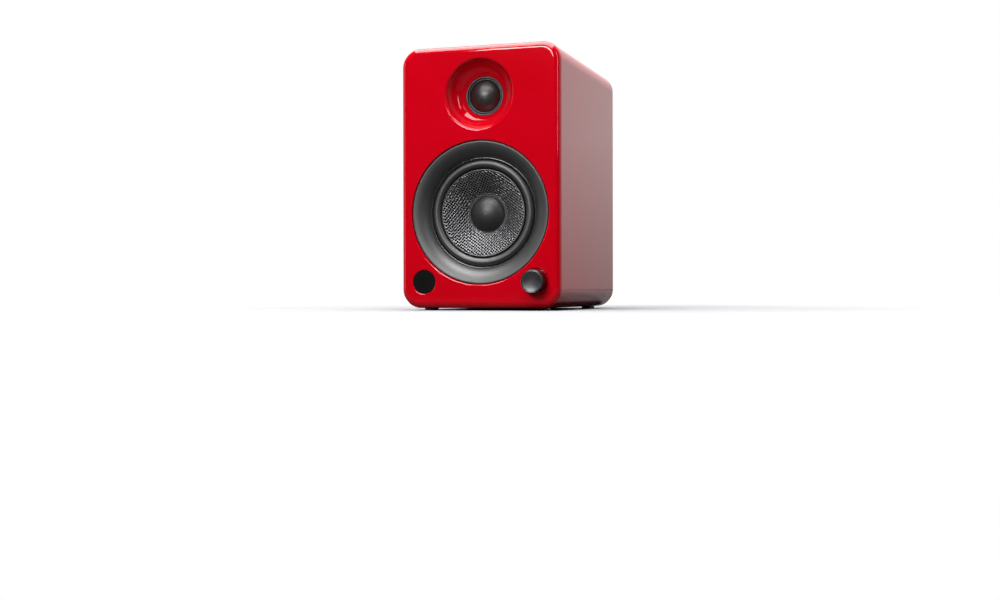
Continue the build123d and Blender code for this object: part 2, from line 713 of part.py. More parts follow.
def woofer_surround():
    land_out = ROLL_MID_R + ROLL_R + SURROUND_LAND
    land_in = ROLL_MID_R - ROLL_R - SURROUND_INNER_LAND
    half = SURROUND_T / 2
    inner_r = ROLL_R - SURROUND_T
    front_foot = sqrt(ROLL_R ** 2 - half ** 2)
    back_foot = sqrt(inner_r ** 2 - half ** 2)
    crest = ROLL_DEPTH - ROLL_R
    return turned(
        0, WOOFER_Z,
        line((ROLL_MID_R + front_foot, SURROUND_FRONT), (land_out, SURROUND_FRONT),
             (land_out, FLANGE_DEPTH), (ROLL_MID_R + back_foot, FLANGE_DEPTH)),
        ThreePointArc((ROLL_MID_R + back_foot, FLANGE_DEPTH), (ROLL_MID_R, crest + SURROUND_T),
                      (ROLL_MID_R - back_foot, FLANGE_DEPTH)),
        line((ROLL_MID_R - back_foot, FLANGE_DEPTH), (land_in, FLANGE_DEPTH),
             (land_in, SURROUND_FRONT), (ROLL_MID_R - front_foot, SURROUND_FRONT)),
        ThreePointArc((ROLL_MID_R - front_foot, SURROUND_FRONT), (ROLL_MID_R, crest),
                      (ROLL_MID_R + front_foot, SURROUND_FRONT)),
    )


def cone_front():
    """The front curve of the cone, from its flat rim to its neck on the former."""
    return (CONE_RIM_R - CONE_LIP, CONE_FRONT), (FORMER_R + GLUE_GAP, CONE_NECK_DEPTH)


def cone_depth(radius):
    """Depth of the cone's front face at a radius, on a straight slope."""
    (rim_r, rim_depth), (neck_r, neck_depth) = cone_front()
    return rim_depth + (rim_r - radius) / (rim_r - neck_r) * (neck_depth - rim_depth)


def woofer_cone():
    rim, neck = cone_front()
    slope = (neck[1] - rim[1]) / (rim[0] - neck[0])
    across = CONE_T * sqrt(1 + slope ** 2)
    back_rim = (rim[0] + (across - CONE_T) / slope, rim[1] + CONE_T)
    back_neck = (neck[0], neck[1] + across)
    return turned(
        0, WOOFER_Z,
        bowed(rim, neck, CONE_BOW),
        line(neck, back_neck),
        bowed(back_neck, back_rim, -CONE_BOW),
        line(back_rim, (CONE_RIM_R, back_rim[1]), (CONE_RIM_R, rim[1]), rim),
    )


def cap_arc(radius, depth, rise):
    """Arc of a round cap, from its rim at a depth to its middle, which lies rise in front of that."""
    sphere = (radius ** 2 + rise ** 2) / (2 * rise)
    across = radius * sin(pi / 4)
    middle = depth - rise + sphere - copysign(sqrt(sphere ** 2 - across ** 2), sphere)
    return ThreePointArc((radius, depth), (across, middle), (0, depth - rise))


def cap_seat_depth():
    """Back of the dust cap's rim, just clear of the bowed cone."""
    (rim_r, _), (neck_r, _) = cone_front()
    share = (CAP_R - neck_r) / (rim_r - neck_r)
    return cone_depth(CAP_R) - 4 * CONE_BOW * share * (1 - share) * sqrt(2) - GLUE_GAP


def woofer_dust_cap():
    dome_r = CAP_R - CAP_RIM
    inner_r = dome_r - CAP_T
    back = cap_seat_depth()
    front = back - CAP_T
    return turned(
        0, WOOFER_Z,
        cap_arc(dome_r, front, CAP_RISE),
        line((dome_r, front), (CAP_R, front), (CAP_R, back), (inner_r, back)),
        cap_arc(inner_r, back, CAP_RISE),
        line((0, back - CAP_RISE), (0, front - CAP_RISE)),
    )


def woofer_former():
    start = CONE_NECK_DEPTH - FORMER_SHIFT
    return ring(0, WOOFER_Z, FORMER_R - FORMER_T, FORMER_R, start, FORMER_END_DEPTH)


def woofer_voice_coil():
    inner = FORMER_R + GLUE_GAP
    return ring(0, WOOFER_Z, inner, inner + COIL_T, FORMER_END_DEPTH - COIL_L, FORMER_END_DEPTH)


def woofer_spider():
    """A corrugated disc from the former to the ledge of the frame."""
    inner = FORMER_R + GLUE_GAP
    outer = BASKET_LEDGE_R - BASKET_SLOPE_WALL - FLANGE_GAP
    wave_in = inner + SPIDER_LAND
    wave_out = BASKET_STEP_R - BASKET_WALL - SPIDER_RIM_GAP
    back = BASKET_LEDGE_DEPTH
    front = back - SPIDER_T
    pitch = (wave_out - wave_in) / (2 * SPIDER_FOLDS)
    crests = range(2 * SPIDER_FOLDS)
    front_waves = []
    back_waves = []
    for i in crests:
        near = wave_in + i * pitch
        swing = SPIDER_WAVE if i % 2 else -SPIDER_WAVE
        for depth, waves in ((front, front_waves), (back, back_waves)):
            middle = (near + pitch / 2, depth + swing)
            waves.append(ThreePointArc((near, depth), middle, (near + pitch, depth)))
    return turned(
        0, WOOFER_Z, *front_waves, *back_waves,
        line((wave_out, front), (outer, front), (outer, back), (wave_out, back)),
        line((wave_in, back), (inner, back), (inner, front), (wave_in, front)),
    )


def woofer_gasket():
    hole_r = CSK_SHANK_R + SCREW_GAP
    near = FLANGE_DEPTH + FLANGE_T
    seal = ring(0, WOOFER_Z, BASKET_NECK_R + FRAME_BORE_GAP, FLANGE_R, near, FLANGE_SEAT)
    for x, z in around(BASKET_LEGS, CSK_CIRCLE_R, 45):
        seal -= disc(x, WOOFER_Z + z, hole_r, near, FLANGE_SEAT)
    return seal


def woofer_top_plate():
    return ring(0, WOOFER_Z, PLATE_BORE_R, PLATE_R, PLATE_DEPTH, MAGNET_DEPTH)


def woofer_magnet():
    return ring(0, WOOFER_Z, MAGNET_BORE_R, MAGNET_R, MAGNET_DEPTH, YOKE_DEPTH)


def woofer_yoke():
    yoke = disc(0, WOOFER_Z, PLATE_R, YOKE_DEPTH, YOKE_DEPTH + PLATE_T)
    yoke += disc(0, WOOFER_Z, POLE_R, PLATE_DEPTH, YOKE_DEPTH)
    return yoke - disc(0, WOOFER_Z, POLE_VENT_R, PLATE_DEPTH, YOKE_DEPTH + PLATE_T)


# Tweeter

def tweeter_faceplate():
    """Ring that shows in the dish, on the flange that carries the tweeter behind the baffle."""
    inner = TWEETER_RING_R - TWEETER_RING_T
    pocket_r = TWEETER_RING_R - TWEETER_POCKET_WALL
    pocket = DOME_DEPTH - TWEETER_SURROUND_T
    front = DISH_DEPTH
    bore = pocket_r - TWEETER_LEDGE
    return turned(0, TWEETER_Z, line(
        (inner, front + TWEETER_BEAD), (inner + TWEETER_BEAD, front),
        (TWEETER_RING_R - TWEETER_BEAD, front), (TWEETER_RING_R, front + TWEETER_BEAD),
        (TWEETER_RING_R, TWEETER_FLANGE_DEPTH), (TWEETER_FLANGE_R, TWEETER_FLANGE_DEPTH),
        (TWEETER_FLANGE_R, TWEETER_PLATE_DEPTH), (bore, TWEETER_PLATE_DEPTH),
        (bore, DOME_DEPTH + TWEETER_SURROUND_T), (pocket_r, DOME_DEPTH + TWEETER_SURROUND_T),
        (pocket_r, pocket), (inner, pocket), (inner, front + TWEETER_BEAD),
    ))


def tweeter_plate_with_holes():
    plate = tweeter_faceplate()
    for x, z in tweeter_screw_places():
        plate -= disc(x, z, PAN_SHANK_R + SCREW_GAP, TWEETER_FLANGE_DEPTH, TWEETER_PLATE_DEPTH)
    return plate


def tweeter_gasket():
    inner = TWEETER_RING_R + TWEETER_RING_GAP
    seal = ring(0, TWEETER_Z, inner, TWEETER_FLANGE_R, TWEETER_SEAT_DEPTH, TWEETER_FLANGE_DEPTH)
    for x, z in tweeter_screw_places():
        seal -= disc(x, z, PAN_SHANK_R + SCREW_GAP, TWEETER_SEAT_DEPTH, TWEETER_FLANGE_DEPTH)
    return seal


def tweeter_surround():
    """A small half roll from the dome's rim to the pocket of the faceplate."""
    roll_in = DOME_R + GLUE_GAP
    roll_out = TWEETER_RING_R - TWEETER_RING_T - GLUE_GAP
    land = TWEETER_RING_R - TWEETER_POCKET_WALL - GLUE_GAP
    back = DOME_DEPTH + TWEETER_SURROUND_T
    front = DOME_DEPTH
    radius = (roll_out - roll_in) / 2
    middle = (roll_out + roll_in) / 2
    inner = radius - TWEETER_SURROUND_T
    return turned(
        0, TWEETER_Z,
        line((roll_out, front), (land, front), (land, back), (middle + inner, back),
             (middle + inner, front)),
        ThreePointArc((middle + inner, front), (middle, front - inner), (middle - inner, front)),
        line((middle - inner, front), (middle - inner, back), (roll_in, back), (roll_in, front)),
        ThreePointArc((roll_in, front), (middle, front - radius), (roll_out, front)),
    )


def tweeter_dome():
    back = DOME_DEPTH + DOME_T
    inner_r = DOME_R - DOME_T
    return turned(
        0, TWEETER_Z,
        cap_arc(DOME_R, DOME_DEPTH, DOME_RISE),
        line((DOME_R, DOME_DEPTH), (DOME_R, back), (inner_r, back)),
        cap_arc(inner_r, back, DOME_RISE),
        line((0, back - DOME_RISE), (0, DOME_DEPTH - DOME_RISE)),
    )


def tweeter_former():
    inner = TWEETER_FORMER_R - TWEETER_FORMER_T
    start = DOME_DEPTH + DOME_T + GLUE_GAP
    return ring(0, TWEETER_Z, inner, TWEETER_FORMER_R, start, tweeter_coil_end())


def tweeter_coil_end():
    return (TWEETER_PLATE_DEPTH + TWEETER_MAGNET_DEPTH + TWEETER_COIL_L) / 2


def tweeter_voice_coil():
    inner = TWEETER_FORMER_R + GLUE_GAP / 2
    end = tweeter_coil_end()
    return ring(0, TWEETER_Z, inner, inner + TWEETER_COIL_T, end - TWEETER_COIL_L, end)


def tweeter_top_plate():
    span = (TWEETER_PLATE_DEPTH, TWEETER_MAGNET_DEPTH)
    return ring(0, TWEETER_Z, TWEETER_GAP_R, TWEETER_PLATE_R, *span)


def tweeter_magnet():
    span = (TWEETER_MAGNET_DEPTH, TWEETER_YOKE_DEPTH)
    return ring(0, TWEETER_Z, TWEETER_MAGNET_BORE_R, TWEETER_PLATE_R, *span)


def tweeter_yoke():
    back = TWEETER_YOKE_DEPTH + TWEETER_PLATE_T
    yoke = disc(0, TWEETER_Z, TWEETER_PLATE_R, TWEETER_YOKE_DEPTH, back)
    return yoke + disc(0, TWEETER_Z, TWEETER_POLE_R, TWEETER_PLATE_DEPTH, TWEETER_YOKE_DEPTH)


# Controls

def knob_back():
    return WELL_DEPTH - KNOB_LIFT


def shaft_section(radius, flat):
    """A round shaft with one flat, for a knob that can't slip."""
    return Circle(radius) - Pos(0, radius * 2 - flat) * Rectangle(2 * radius, 2 * radius)


def volume_knob():
    front = -KNOB_REACH
    knob = turned(
        CONTROL_X, CONTROL_Z,
        line((0, knob_back()), (KNOB_R, knob_back()), (KNOB_R, front + KNOB_BEVEL),
             (KNOB_R - KNOB_BEVEL, front)),
        cap_arc(KNOB_R - KNOB_BEVEL, front, -KNOB_DISH),
        line((0, front + KNOB_DISH), (0, knob_back())),
    )
    hollow_end = knob_back() - KNOB_HOLLOW
    knob -= disc(CONTROL_X, CONTROL_Z, KNOB_R - KNOB_SKIRT, hollow_end, knob_back())
    bore = Pos(CONTROL_X, CONTROL_Z) * shaft_section(SHAFT_R + RUN_GAP, SHAFT_FLAT - RUN_GAP)
    return knob - slab(bore, front + KNOB_FACE_T, hollow_end)


def encoder_inner_end():
    return ENCODER_DEPTH + ENCODER_SHELL + RUN_GAP + ROTOR_T


def encoder_shaft():
    front = -KNOB_REACH + KNOB_FACE_T + RUN_GAP
    hollow_end = knob_back() - KNOB_HOLLOW
    end = encoder_inner_end()
    shaft = slab(Pos(CONTROL_X, CONTROL_Z) * shaft_section(SHAFT_R, SHAFT_FLAT), front, hollow_end)
    shaft += disc(CONTROL_X, CONTROL_Z, SHAFT_R, hollow_end, end)
    return shaft + disc(CONTROL_X, CONTROL_Z, ROTOR_R, end - ROTOR_T, end)


def encoder_plunger():
    start = encoder_inner_end() + RUN_GAP
    return disc(CONTROL_X, CONTROL_Z, PLUNGER_R, start, start + PLUNGER_T)


def encoder_body():
    back = ENCODER_DEPTH + ENCODER_T
    body = block(CONTROL_X, CONTROL_Z, ENCODER_W, ENCODER_W, ENCODER_DEPTH, back)
    body += disc(CONTROL_X, CONTROL_Z, BUSH_R, WELL_DEPTH - BUSH_REACH, ENCODER_DEPTH)
    front = ENCODER_DEPTH + ENCODER_SHELL
    body -= disc(CONTROL_X, CONTROL_Z, SHAFT_R + RUN_GAP, WELL_DEPTH - BUSH_REACH, front)
    return body - disc(CONTROL_X, CONTROL_Z, ROTOR_R + POCKET_GAP, front, back - ENCODER_BACK_T)


def encoder_nut():
    outline = RegularPolygon(NUT_ACROSS / 2, 6, major_radius=False) - Circle(BUSH_R + RUN_GAP)
    return slab(Pos(CONTROL_X, CONTROL_Z) * outline, WELL_DEPTH - NUT_T, WELL_DEPTH)


def control_boards():
    encoder_back = ENCODER_DEPTH + ENCODER_T
    spans = ((CONTROL_X, encoder_back), (-CONTROL_X, RECEIVER_SEAT_DEPTH))
    width = CONTROL_BOARD_W
    return [block(x, CONTROL_Z, width, width, near, near + BOARD_T) for x, near in spans]


def receiver_window():
    back = WINDOW_SINK + WINDOW_T
    return disc(-CONTROL_X, CONTROL_Z, WINDOW_R, WINDOW_SINK, back)


def receiver_module():
    """Remote-control receiver with a round lens on its front."""
    front = RECEIVER_SEAT_DEPTH - RECEIVER_T
    base = front + RECEIVER_LENS
    body = block(-CONTROL_X, CONTROL_Z, RECEIVER_W, RECEIVER_H, base, RECEIVER_SEAT_DEPTH)
    return body + turned(
        -CONTROL_X, CONTROL_Z,
        cap_arc(RECEIVER_W / 2 - RUN_GAP, base, RECEIVER_LENS),
        line((0, front), (0, RECEIVER_SEAT_DEPTH), (RECEIVER_W / 2 - RUN_GAP, RECEIVER_SEAT_DEPTH),
             (RECEIVER_W / 2 - RUN_GAP, base)),
    )


# Amplifier

def amp_plate():
    plate = block(0, AMP_Z, AMP_W, AMP_H, PLATE_IN, CABINET_D, AMP_CORNER_R)
    for x, z in amp_screw_places():
        plate -= disc(x, z, PAN_SHANK_R + SCREW_GAP, PLATE_IN, CABINET_D)
    for x, z in phono_places():
        plate -= disc(x, z, PHONO_R + HOLE_GAP, PLATE_IN, CABINET_D)
    for x, z in post_places():
        plate -= disc(x, z, POST_SPIGOT_R + HOLE_GAP, PLATE_IN, CABINET_D)
    plate -= disc(AUX_X, AMP_Z + AUX_V, AUX_BARREL_R + HOLE_GAP, PLATE_IN, CABINET_D)
    for x, v, width, height in (
        (INLET_X, INLET_V, INLET_W, INLET_H), (SWITCH_X, SWITCH_V, SWITCH_W, SWITCH_H),
    ):
        size = (width + 2 * HOLE_GAP, height + 2 * HOLE_GAP)
        plate -= block(x, AMP_Z + v, *size, PLATE_IN, CABINET_D)
    return plate


def amp_gasket():
    near = PLATE_IN - AMP_GASKET_T
    seal = block(0, AMP_Z, AMP_W, AMP_H, near, PLATE_IN, AMP_CORNER_R)
    opening = (AMP_W - 2 * AMP_BORDER, AMP_H - 2 * AMP_BORDER)
    seal -= block(0, AMP_Z, *opening, near, PLATE_IN, AMP_CORNER_R)
    for x, z in amp_screw_places():
        seal -= disc(x, z, PAN_SHANK_R + SCREW_GAP, near, PLATE_IN)
    return seal


def foam_gaskets():
    return [woofer_gasket(), tweeter_gasket(), amp_gasket()]


def pan_screws():
    screws = [pan_screw(x, z, CABINET_D) for x, z in amp_screw_places()]
    return screws + [pan_screw(x, z, TWEETER_PLATE_DEPTH) for x, z in tweeter_screw_places()]


def amp_standoffs():
    places = [(x, v) for x in (-STANDOFF_X, STANDOFF_X) for v in (STANDOFF_LOW, STANDOFF_HIGH)]
    return [disc(x, AMP_Z + v, STANDOFF_R, AMP_BOARD_BACK, PLATE_IN) for x, v in places]


def amp_board():
    height = AMP_BOARD_HIGH - AMP_BOARD_LOW
    middle = AMP_Z + (AMP_BOARD_HIGH + AMP_BOARD_LOW) / 2
    return block(0, middle, AMP_BOARD_W, height, AMP_BOARD_FRONT, AMP_BOARD_BACK)


def heat_sink():
    low = AMP_Z + SINK_LOW
    sink = block(0, low + SINK_T / 2, SINK_W, SINK_T, PLATE_IN - SINK_L, PLATE_IN)
    foot_h = SINK_FOOT + SINK_T
    sink += block(0, low + SINK_T - foot_h / 2, SINK_W, foot_h, PLATE_IN - SINK_T, PLATE_IN)
    pitch = (SINK_W - SINK_FIN_T) / (SINK_FINS - 1)
    near = PLATE_IN - SINK_L
    for i in range(SINK_FINS):
        x = -SINK_W / 2 + SINK_FIN_T / 2 + i * pitch
        fin_z = low + SINK_T + SINK_FIN_H / 2
        sink += block(x, fin_z, SINK_FIN_T, SINK_FIN_H, near, near + SINK_FIN_L)
    return sink


def amp_chip():
    near = PLATE_IN - SINK_L + CHIP_SHIFT
    chip_z = AMP_Z + SINK_LOW - CHIP_T / 2
    return block(0, chip_z, CHIP_W, CHIP_T, near, near + CHIP_H)


def reservoir_capacitors():
    """Two cans with a crimped groove near the board."""
    can_r = CAPACITOR_R
    base = AMP_BOARD_FRONT
    groove = base - CAPACITOR_GROOVE_UP
    cut = CAPACITOR_GROOVE
    cans = []
    for x in (-CAPACITOR_X, CAPACITOR_X):
        cans.append(turned(x, AMP_Z + CAPACITOR_V, line(
            (0, base), (can_r, base), (can_r, groove + cut), (can_r - cut, groove),
            (can_r, groove - cut), (can_r, base - CAPACITOR_L), (0, base - CAPACITOR_L), (0, base),
        )))
    return cans


def transformer_core():
    near = AMP_BOARD_FRONT - CORE_L
    core = block(0, AMP_Z + CORE_V, CORE_W, CORE_T, near, AMP_BOARD_FRONT)
    for x in (-1, 1):
        window_x = x * (CORE_LEG + CORE_WINDOW) / 2
        core -= block(window_x, AMP_Z + CORE_V, CORE_WINDOW, CORE_T, near + CORE_YOKE,
                      AMP_BOARD_FRONT - CORE_YOKE)
    return core


def transformer_winding():
    thick = CORE_WINDOW - 2 * WINDING_GAP
    inner = (CORE_LEG + 2 * WINDING_GAP, CORE_T + 2 * WINDING_GAP)
    outer = (inner[0] + 2 * thick, inner[1] + 2 * thick)
    near = AMP_BOARD_FRONT - CORE_L + CORE_YOKE + WINDING_GAP
    far = AMP_BOARD_FRONT - CORE_YOKE - WINDING_GAP
    winding = block(0, AMP_Z + CORE_V, *outer, near, far, WINDING_CORNER_R)
    return winding - block(0, AMP_Z + CORE_V, *inner, near, far)


def inlet_pin_places():
    return [(INLET_X + side * PIN_PITCH / 2, AMP_Z + INLET_V) for side in (-1, 1)]


def mains_inlet():
    """Two-pin mains inlet with a round-ended hollow."""
    z = AMP_Z + INLET_V
    corner = INLET_WALL
    flange = (INLET_W + 2 * INLET_FLANGE, INLET_H + 2 * INLET_FLANGE)
    back = CABINET_D + INLET_FLANGE_T
    inlet = block(INLET_X, z, INLET_W, INLET_H, CABINET_D - INLET_L, CABINET_D, corner)
    inlet += block(INLET_X, z, *flange, CABINET_D, back, corner + INLET_FLANGE)
    hollow = SlotOverall(INLET_W - 2 * INLET_WALL, INLET_H - 2 * INLET_WALL)
    floor = CABINET_D - INLET_L + INLET_FLOOR
    inlet -= slab(Pos(INLET_X, z) * hollow, floor, back)
    for x, pin_z in inlet_pin_places():
        inlet -= disc(x, pin_z, PIN_R + RUN_GAP, CABINET_D - INLET_L, floor)
    return inlet


def inlet_pins():
    near = CABINET_D - INLET_L
    far = CABINET_D + INLET_FLANGE_T - PIN_SINK
    return [disc(x, z, PIN_R, near, far) for x, z in inlet_pin_places()]


def rocker_axis():
    return Vector(SWITCH_X, FRONT_Y + CABINET_D - ROCKER_AXIS, FOOT_T + AMP_Z + SWITCH_V)


def across_x(radius, length):
    """A round pin along X, through the middle of the rocker."""
    return Pos(rocker_axis()) * Rot(0, 90, 0) * Cylinder(radius, length)


def power_switch_housing():
    z = AMP_Z + SWITCH_V
    flange = (SWITCH_W + 2 * SWITCH_FLANGE, SWITCH_H + 2 * SWITCH_FLANGE)
    back = CABINET_D + SWITCH_FLANGE_T
    near = CABINET_D - SWITCH_L
    housing = block(SWITCH_X, z, SWITCH_W, SWITCH_H, near, CABINET_D)
    housing += block(SWITCH_X, z, *flange, CABINET_D, back, SWITCH_FLANGE)
    hollow = (SWITCH_W - 2 * SWITCH_WALL, SWITCH_H - 2 * SWITCH_WALL)
    housing -= block(SWITCH_X, z, *hollow, near + SWITCH_WALL, back)
    pin_l = SWITCH_W - 2 * SWITCH_WALL + 2 * (ROCKER_PIN_L + RUN_GAP)
    return housing - across_x(ROCKER_PIN_R + RUN_GAP, pin_l)


def power_rocker():
    """Rocker with round ends, a shallow V face and a pivot pin. It rests tipped to one side."""
    width = SWITCH_W - 2 * SWITCH_WALL - 2 * ROCKER_GAP
    high = ROCKER_TOP + ROCKER_RISE
    outline = make_face(line(
        (-ROCKER_R, -ROCKER_BELLY), (ROCKER_R, -ROCKER_BELLY), (ROCKER_R, high),
        (0, ROCKER_TOP), (-ROCKER_R, high), (-ROCKER_R, -ROCKER_BELLY),
    ))
    section = Circle(ROCKER_R) & outline
    side_view = Plane(rocker_axis(), x_dir=(0, 0, 1), z_dir=(-1, 0, 0))
    rocker = extrude(side_view * Rot(0, 0, ROCKER_TILT) * section, amount=width / 2, both=True)
    return rocker + across_x(ROCKER_PIN_R, SWITCH_W - 2 * SWITCH_WALL + 2 * ROCKER_PIN_L)


def rca_block():
    margin = PHONO_R + PHONO_BLOCK_MARGIN
    left, right = min(PHONO_X) - margin, max(PHONO_X) + margin
    height = 2 * (PHONO_R + PHONO_BLOCK_RISE)
    z = AMP_Z + PHONO_V
    body = block((left + right) / 2, z, right - left, height, AMP_BOARD_BACK, PLATE_IN)
    for x, socket_z in phono_places():
        body -= disc(x, socket_z, PHONO_R + RUN_GAP, PLATE_IN - PHONO_ROOT, PLATE_IN)
    return body


def rca_shells():
    span = (PLATE_IN - PHONO_ROOT, CABINET_D + PHONO_REACH)
    return [ring(x, z, PHONO_R - PHONO_WALL, PHONO_R, *span) for x, z in phono_places()]


def rca_inserts():
    near = PLATE_IN - PHONO_ROOT
    far = CABINET_D + PHONO_REACH - PHONO_INSERT_SINK
    inserts = []
    for x, z in phono_places():
        insert = disc(x, z, PHONO_R - PHONO_WALL - RUN_GAP, near, far)
        inserts.append(insert - disc(x, z, PHONO_BORE_R, far - PHONO_BORE_L, far))
    return inserts


def aux_jack():
    z = AMP_Z + AUX_V
    end = CABINET_D + AUX_REACH
    jack = block(AUX_X, z, AUX_W, AUX_W, AMP_BOARD_BACK, PLATE_IN)
    jack += disc(AUX_X, z, AUX_BARREL_R, PLATE_IN, end)
    return jack - disc(AUX_X, z, AUX_BORE_R, end - AUX_BORE_L, end)


def post_insulators():
    bases = []
    for x, z in post_places():
        base = disc(x, z, POST_BASE_R, CABINET_D, POST_BASE_END)
        base = fillet(base.faces().sort_by(Axis.Y)[-1].edges(), POST_BASE_ROUND)
        base += disc(x, z, POST_SPIGOT_R, PLATE_IN, CABINET_D)
        bases.append(base - disc(x, z, STUD_R + RUN_GAP, PLATE_IN, POST_BASE_END))
    return bases


def post_studs():
    end = CABINET_D + POST_REACH
    studs = []
    for x, z in post_places():
        stud = disc(x, z, STUD_R, PLATE_IN - STUD_TAIL, end)
        stud += disc(x, z, STUD_SHOULDER_R, PLATE_IN - STUD_SHOULDER_T, PLATE_IN)
        studs.append(stud - disc(x, z, STUD_BORE_R, end - STUD_BORE_L, end))
    return studs


def clamp_washer(x, z):
    return ring(x, z, STUD_R + RUN_GAP, CLAMP_R, CLAMP_DEPTH, CLAMP_DEPTH + CLAMP_T)


def thumb_nut(x, z):
    end = CABINET_D + POST_REACH - THUMB_SINK
    outline = Circle(THUMB_R)
    for flute_x, flute_z in around(THUMB_FLUTES, THUMB_R):
        outline -= Pos(flute_x, flute_z) * Circle(THUMB_FLUTE_R)
    grip = slab(Pos(x, z) * outline, THUMB_DEPTH + CLAMP_T, end)
    grip += disc(x, z, THUMB_R, THUMB_DEPTH, THUMB_DEPTH + CLAMP_T)
    return grip - disc(x, z, STUD_R + RUN_GAP, THUMB_DEPTH, end)


def speaker_wires():
    """A pair of wires from the board to each driver."""
    end = AMP_BOARD_FRONT - SOLDER_GAP
    tag_near, tag_far = basket_pad_span()
    tag_depth = (tag_near + tag_far) / 2
    tag_z = WOOFER_Z + basket_pad_top() + TAG_STRIP_T + SOLDER_GAP
    flange_z = TWEETER_Z - TWEETER_SCREW_R
    flange_back = TWEETER_PLATE_DEPTH + SOLDER_GAP
    sink_near = PLATE_IN - SINK_L
    low = AMP_Z + WIRE_UP
    drop = sink_near - WIRE_DROP_GAP
    high = tag_z + WIRE_RISE
    turn = CABINET_D - PORT_L - WIRE_TURN_GAP
    wires = []
    for side in (-1, 1):
        x = side * TAG_PITCH / 2
        wires.append(wire((x, tag_depth, tag_z), (x, tag_depth, high), (x, drop, high),
                          (x, drop, low), (x, end, low)))
        far_x = side * TWEETER_WIRE_PITCH / 2
        wires.append(wire((far_x, flange_back, flange_z), (far_x, turn, flange_z),
                          (far_x, drop, low - WIRE_ROW), (far_x, end, low - WIRE_ROW)))
    return wires


NODES = {
    "cabinet_wrap": cabinet_wrap,
    "front_baffle": front_baffle,
    "rear_panel": rear_panel,
    "bass_port": bass_port,
    "damping_foam": damping_foam,
    "rubber_feet": rubber_feet,
    "foam_gaskets": foam_gaskets,
    "pan_screws": pan_screws,
    "woofer_trim_ring": woofer_trim_ring,
    "woofer_basket": woofer_basket,
    "woofer_screws": csk_screws,
    "woofer_tag_strip": woofer_tag_strip,
    "woofer_surround": woofer_surround,
    "woofer_cone": woofer_cone,
    "woofer_dust_cap": woofer_dust_cap,
    "woofer_former": woofer_former,
    "woofer_voice_coil": woofer_voice_coil,
    "woofer_spider": woofer_spider,
    "woofer_top_plate": woofer_top_plate,
    "woofer_magnet": woofer_magnet,
    "woofer_yoke": woofer_yoke,
    "tweeter_faceplate": tweeter_plate_with_holes,
    "tweeter_surround": tweeter_surround,
    "tweeter_dome": tweeter_dome,
    "tweeter_former": tweeter_former,
    "tweeter_voice_coil": tweeter_voice_coil,
    "tweeter_top_plate": tweeter_top_plate,
    "tweeter_magnet": tweeter_magnet,
    "tweeter_yoke": tweeter_yoke,
    "volume_knob": volume_knob,
    "encoder_shaft": encoder_shaft,
    "encoder_plunger": encoder_plunger,
    "encoder_body": encoder_body,
    "encoder_nut": encoder_nut,
    "control_boards": control_boards,
    "receiver_window": receiver_window,
    "receiver_module": receiver_module,
    "amp_plate": amp_plate,
    "amp_standoffs": amp_standoffs,
    "amp_board": amp_board,
    "heat_sink": heat_sink,
    "amp_chip": amp_chip,
    "reservoir_capacitors": reservoir_capacitors,
    "transformer_core": transformer_core,
    "transformer_winding": transformer_winding,
    "mains_inlet": mains_inlet,
    "inlet_pins": inlet_pins,
    "power_switch_housing": power_switch_housing,
    "power_rocker": power_rocker,
    "rca_block": rca_block,
    "rca_shells": rca_shells,
    "rca_inserts": rca_inserts,
    "aux_jack": aux_jack,
    "post_insulators": post_insulators,
    "post_studs": post_studs,
    "clamp_washer_black": lambda: clamp_washer(*post_places()[0]),
    "thumb_nut_black": lambda: thumb_nut(*post_places()[0]),
    "clamp_washer_red": lambda: clamp_washer(*post_places()[1]),
    "thumb_nut_red": lambda: thumb_nut(*post_places()[1]),
    "speaker_wires": speaker_wires,
}

os.makedirs("parts", exist_ok=True)
for name, make in NODES.items():
    shape = make()
    if isinstance(shape, list):
        shape = Compound(children=[solid for piece in shape for solid in piece.solids()])
    export_step(shape, f"parts/{name}.step")
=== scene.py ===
import json
from math import cos, hypot, pi, radians, sin

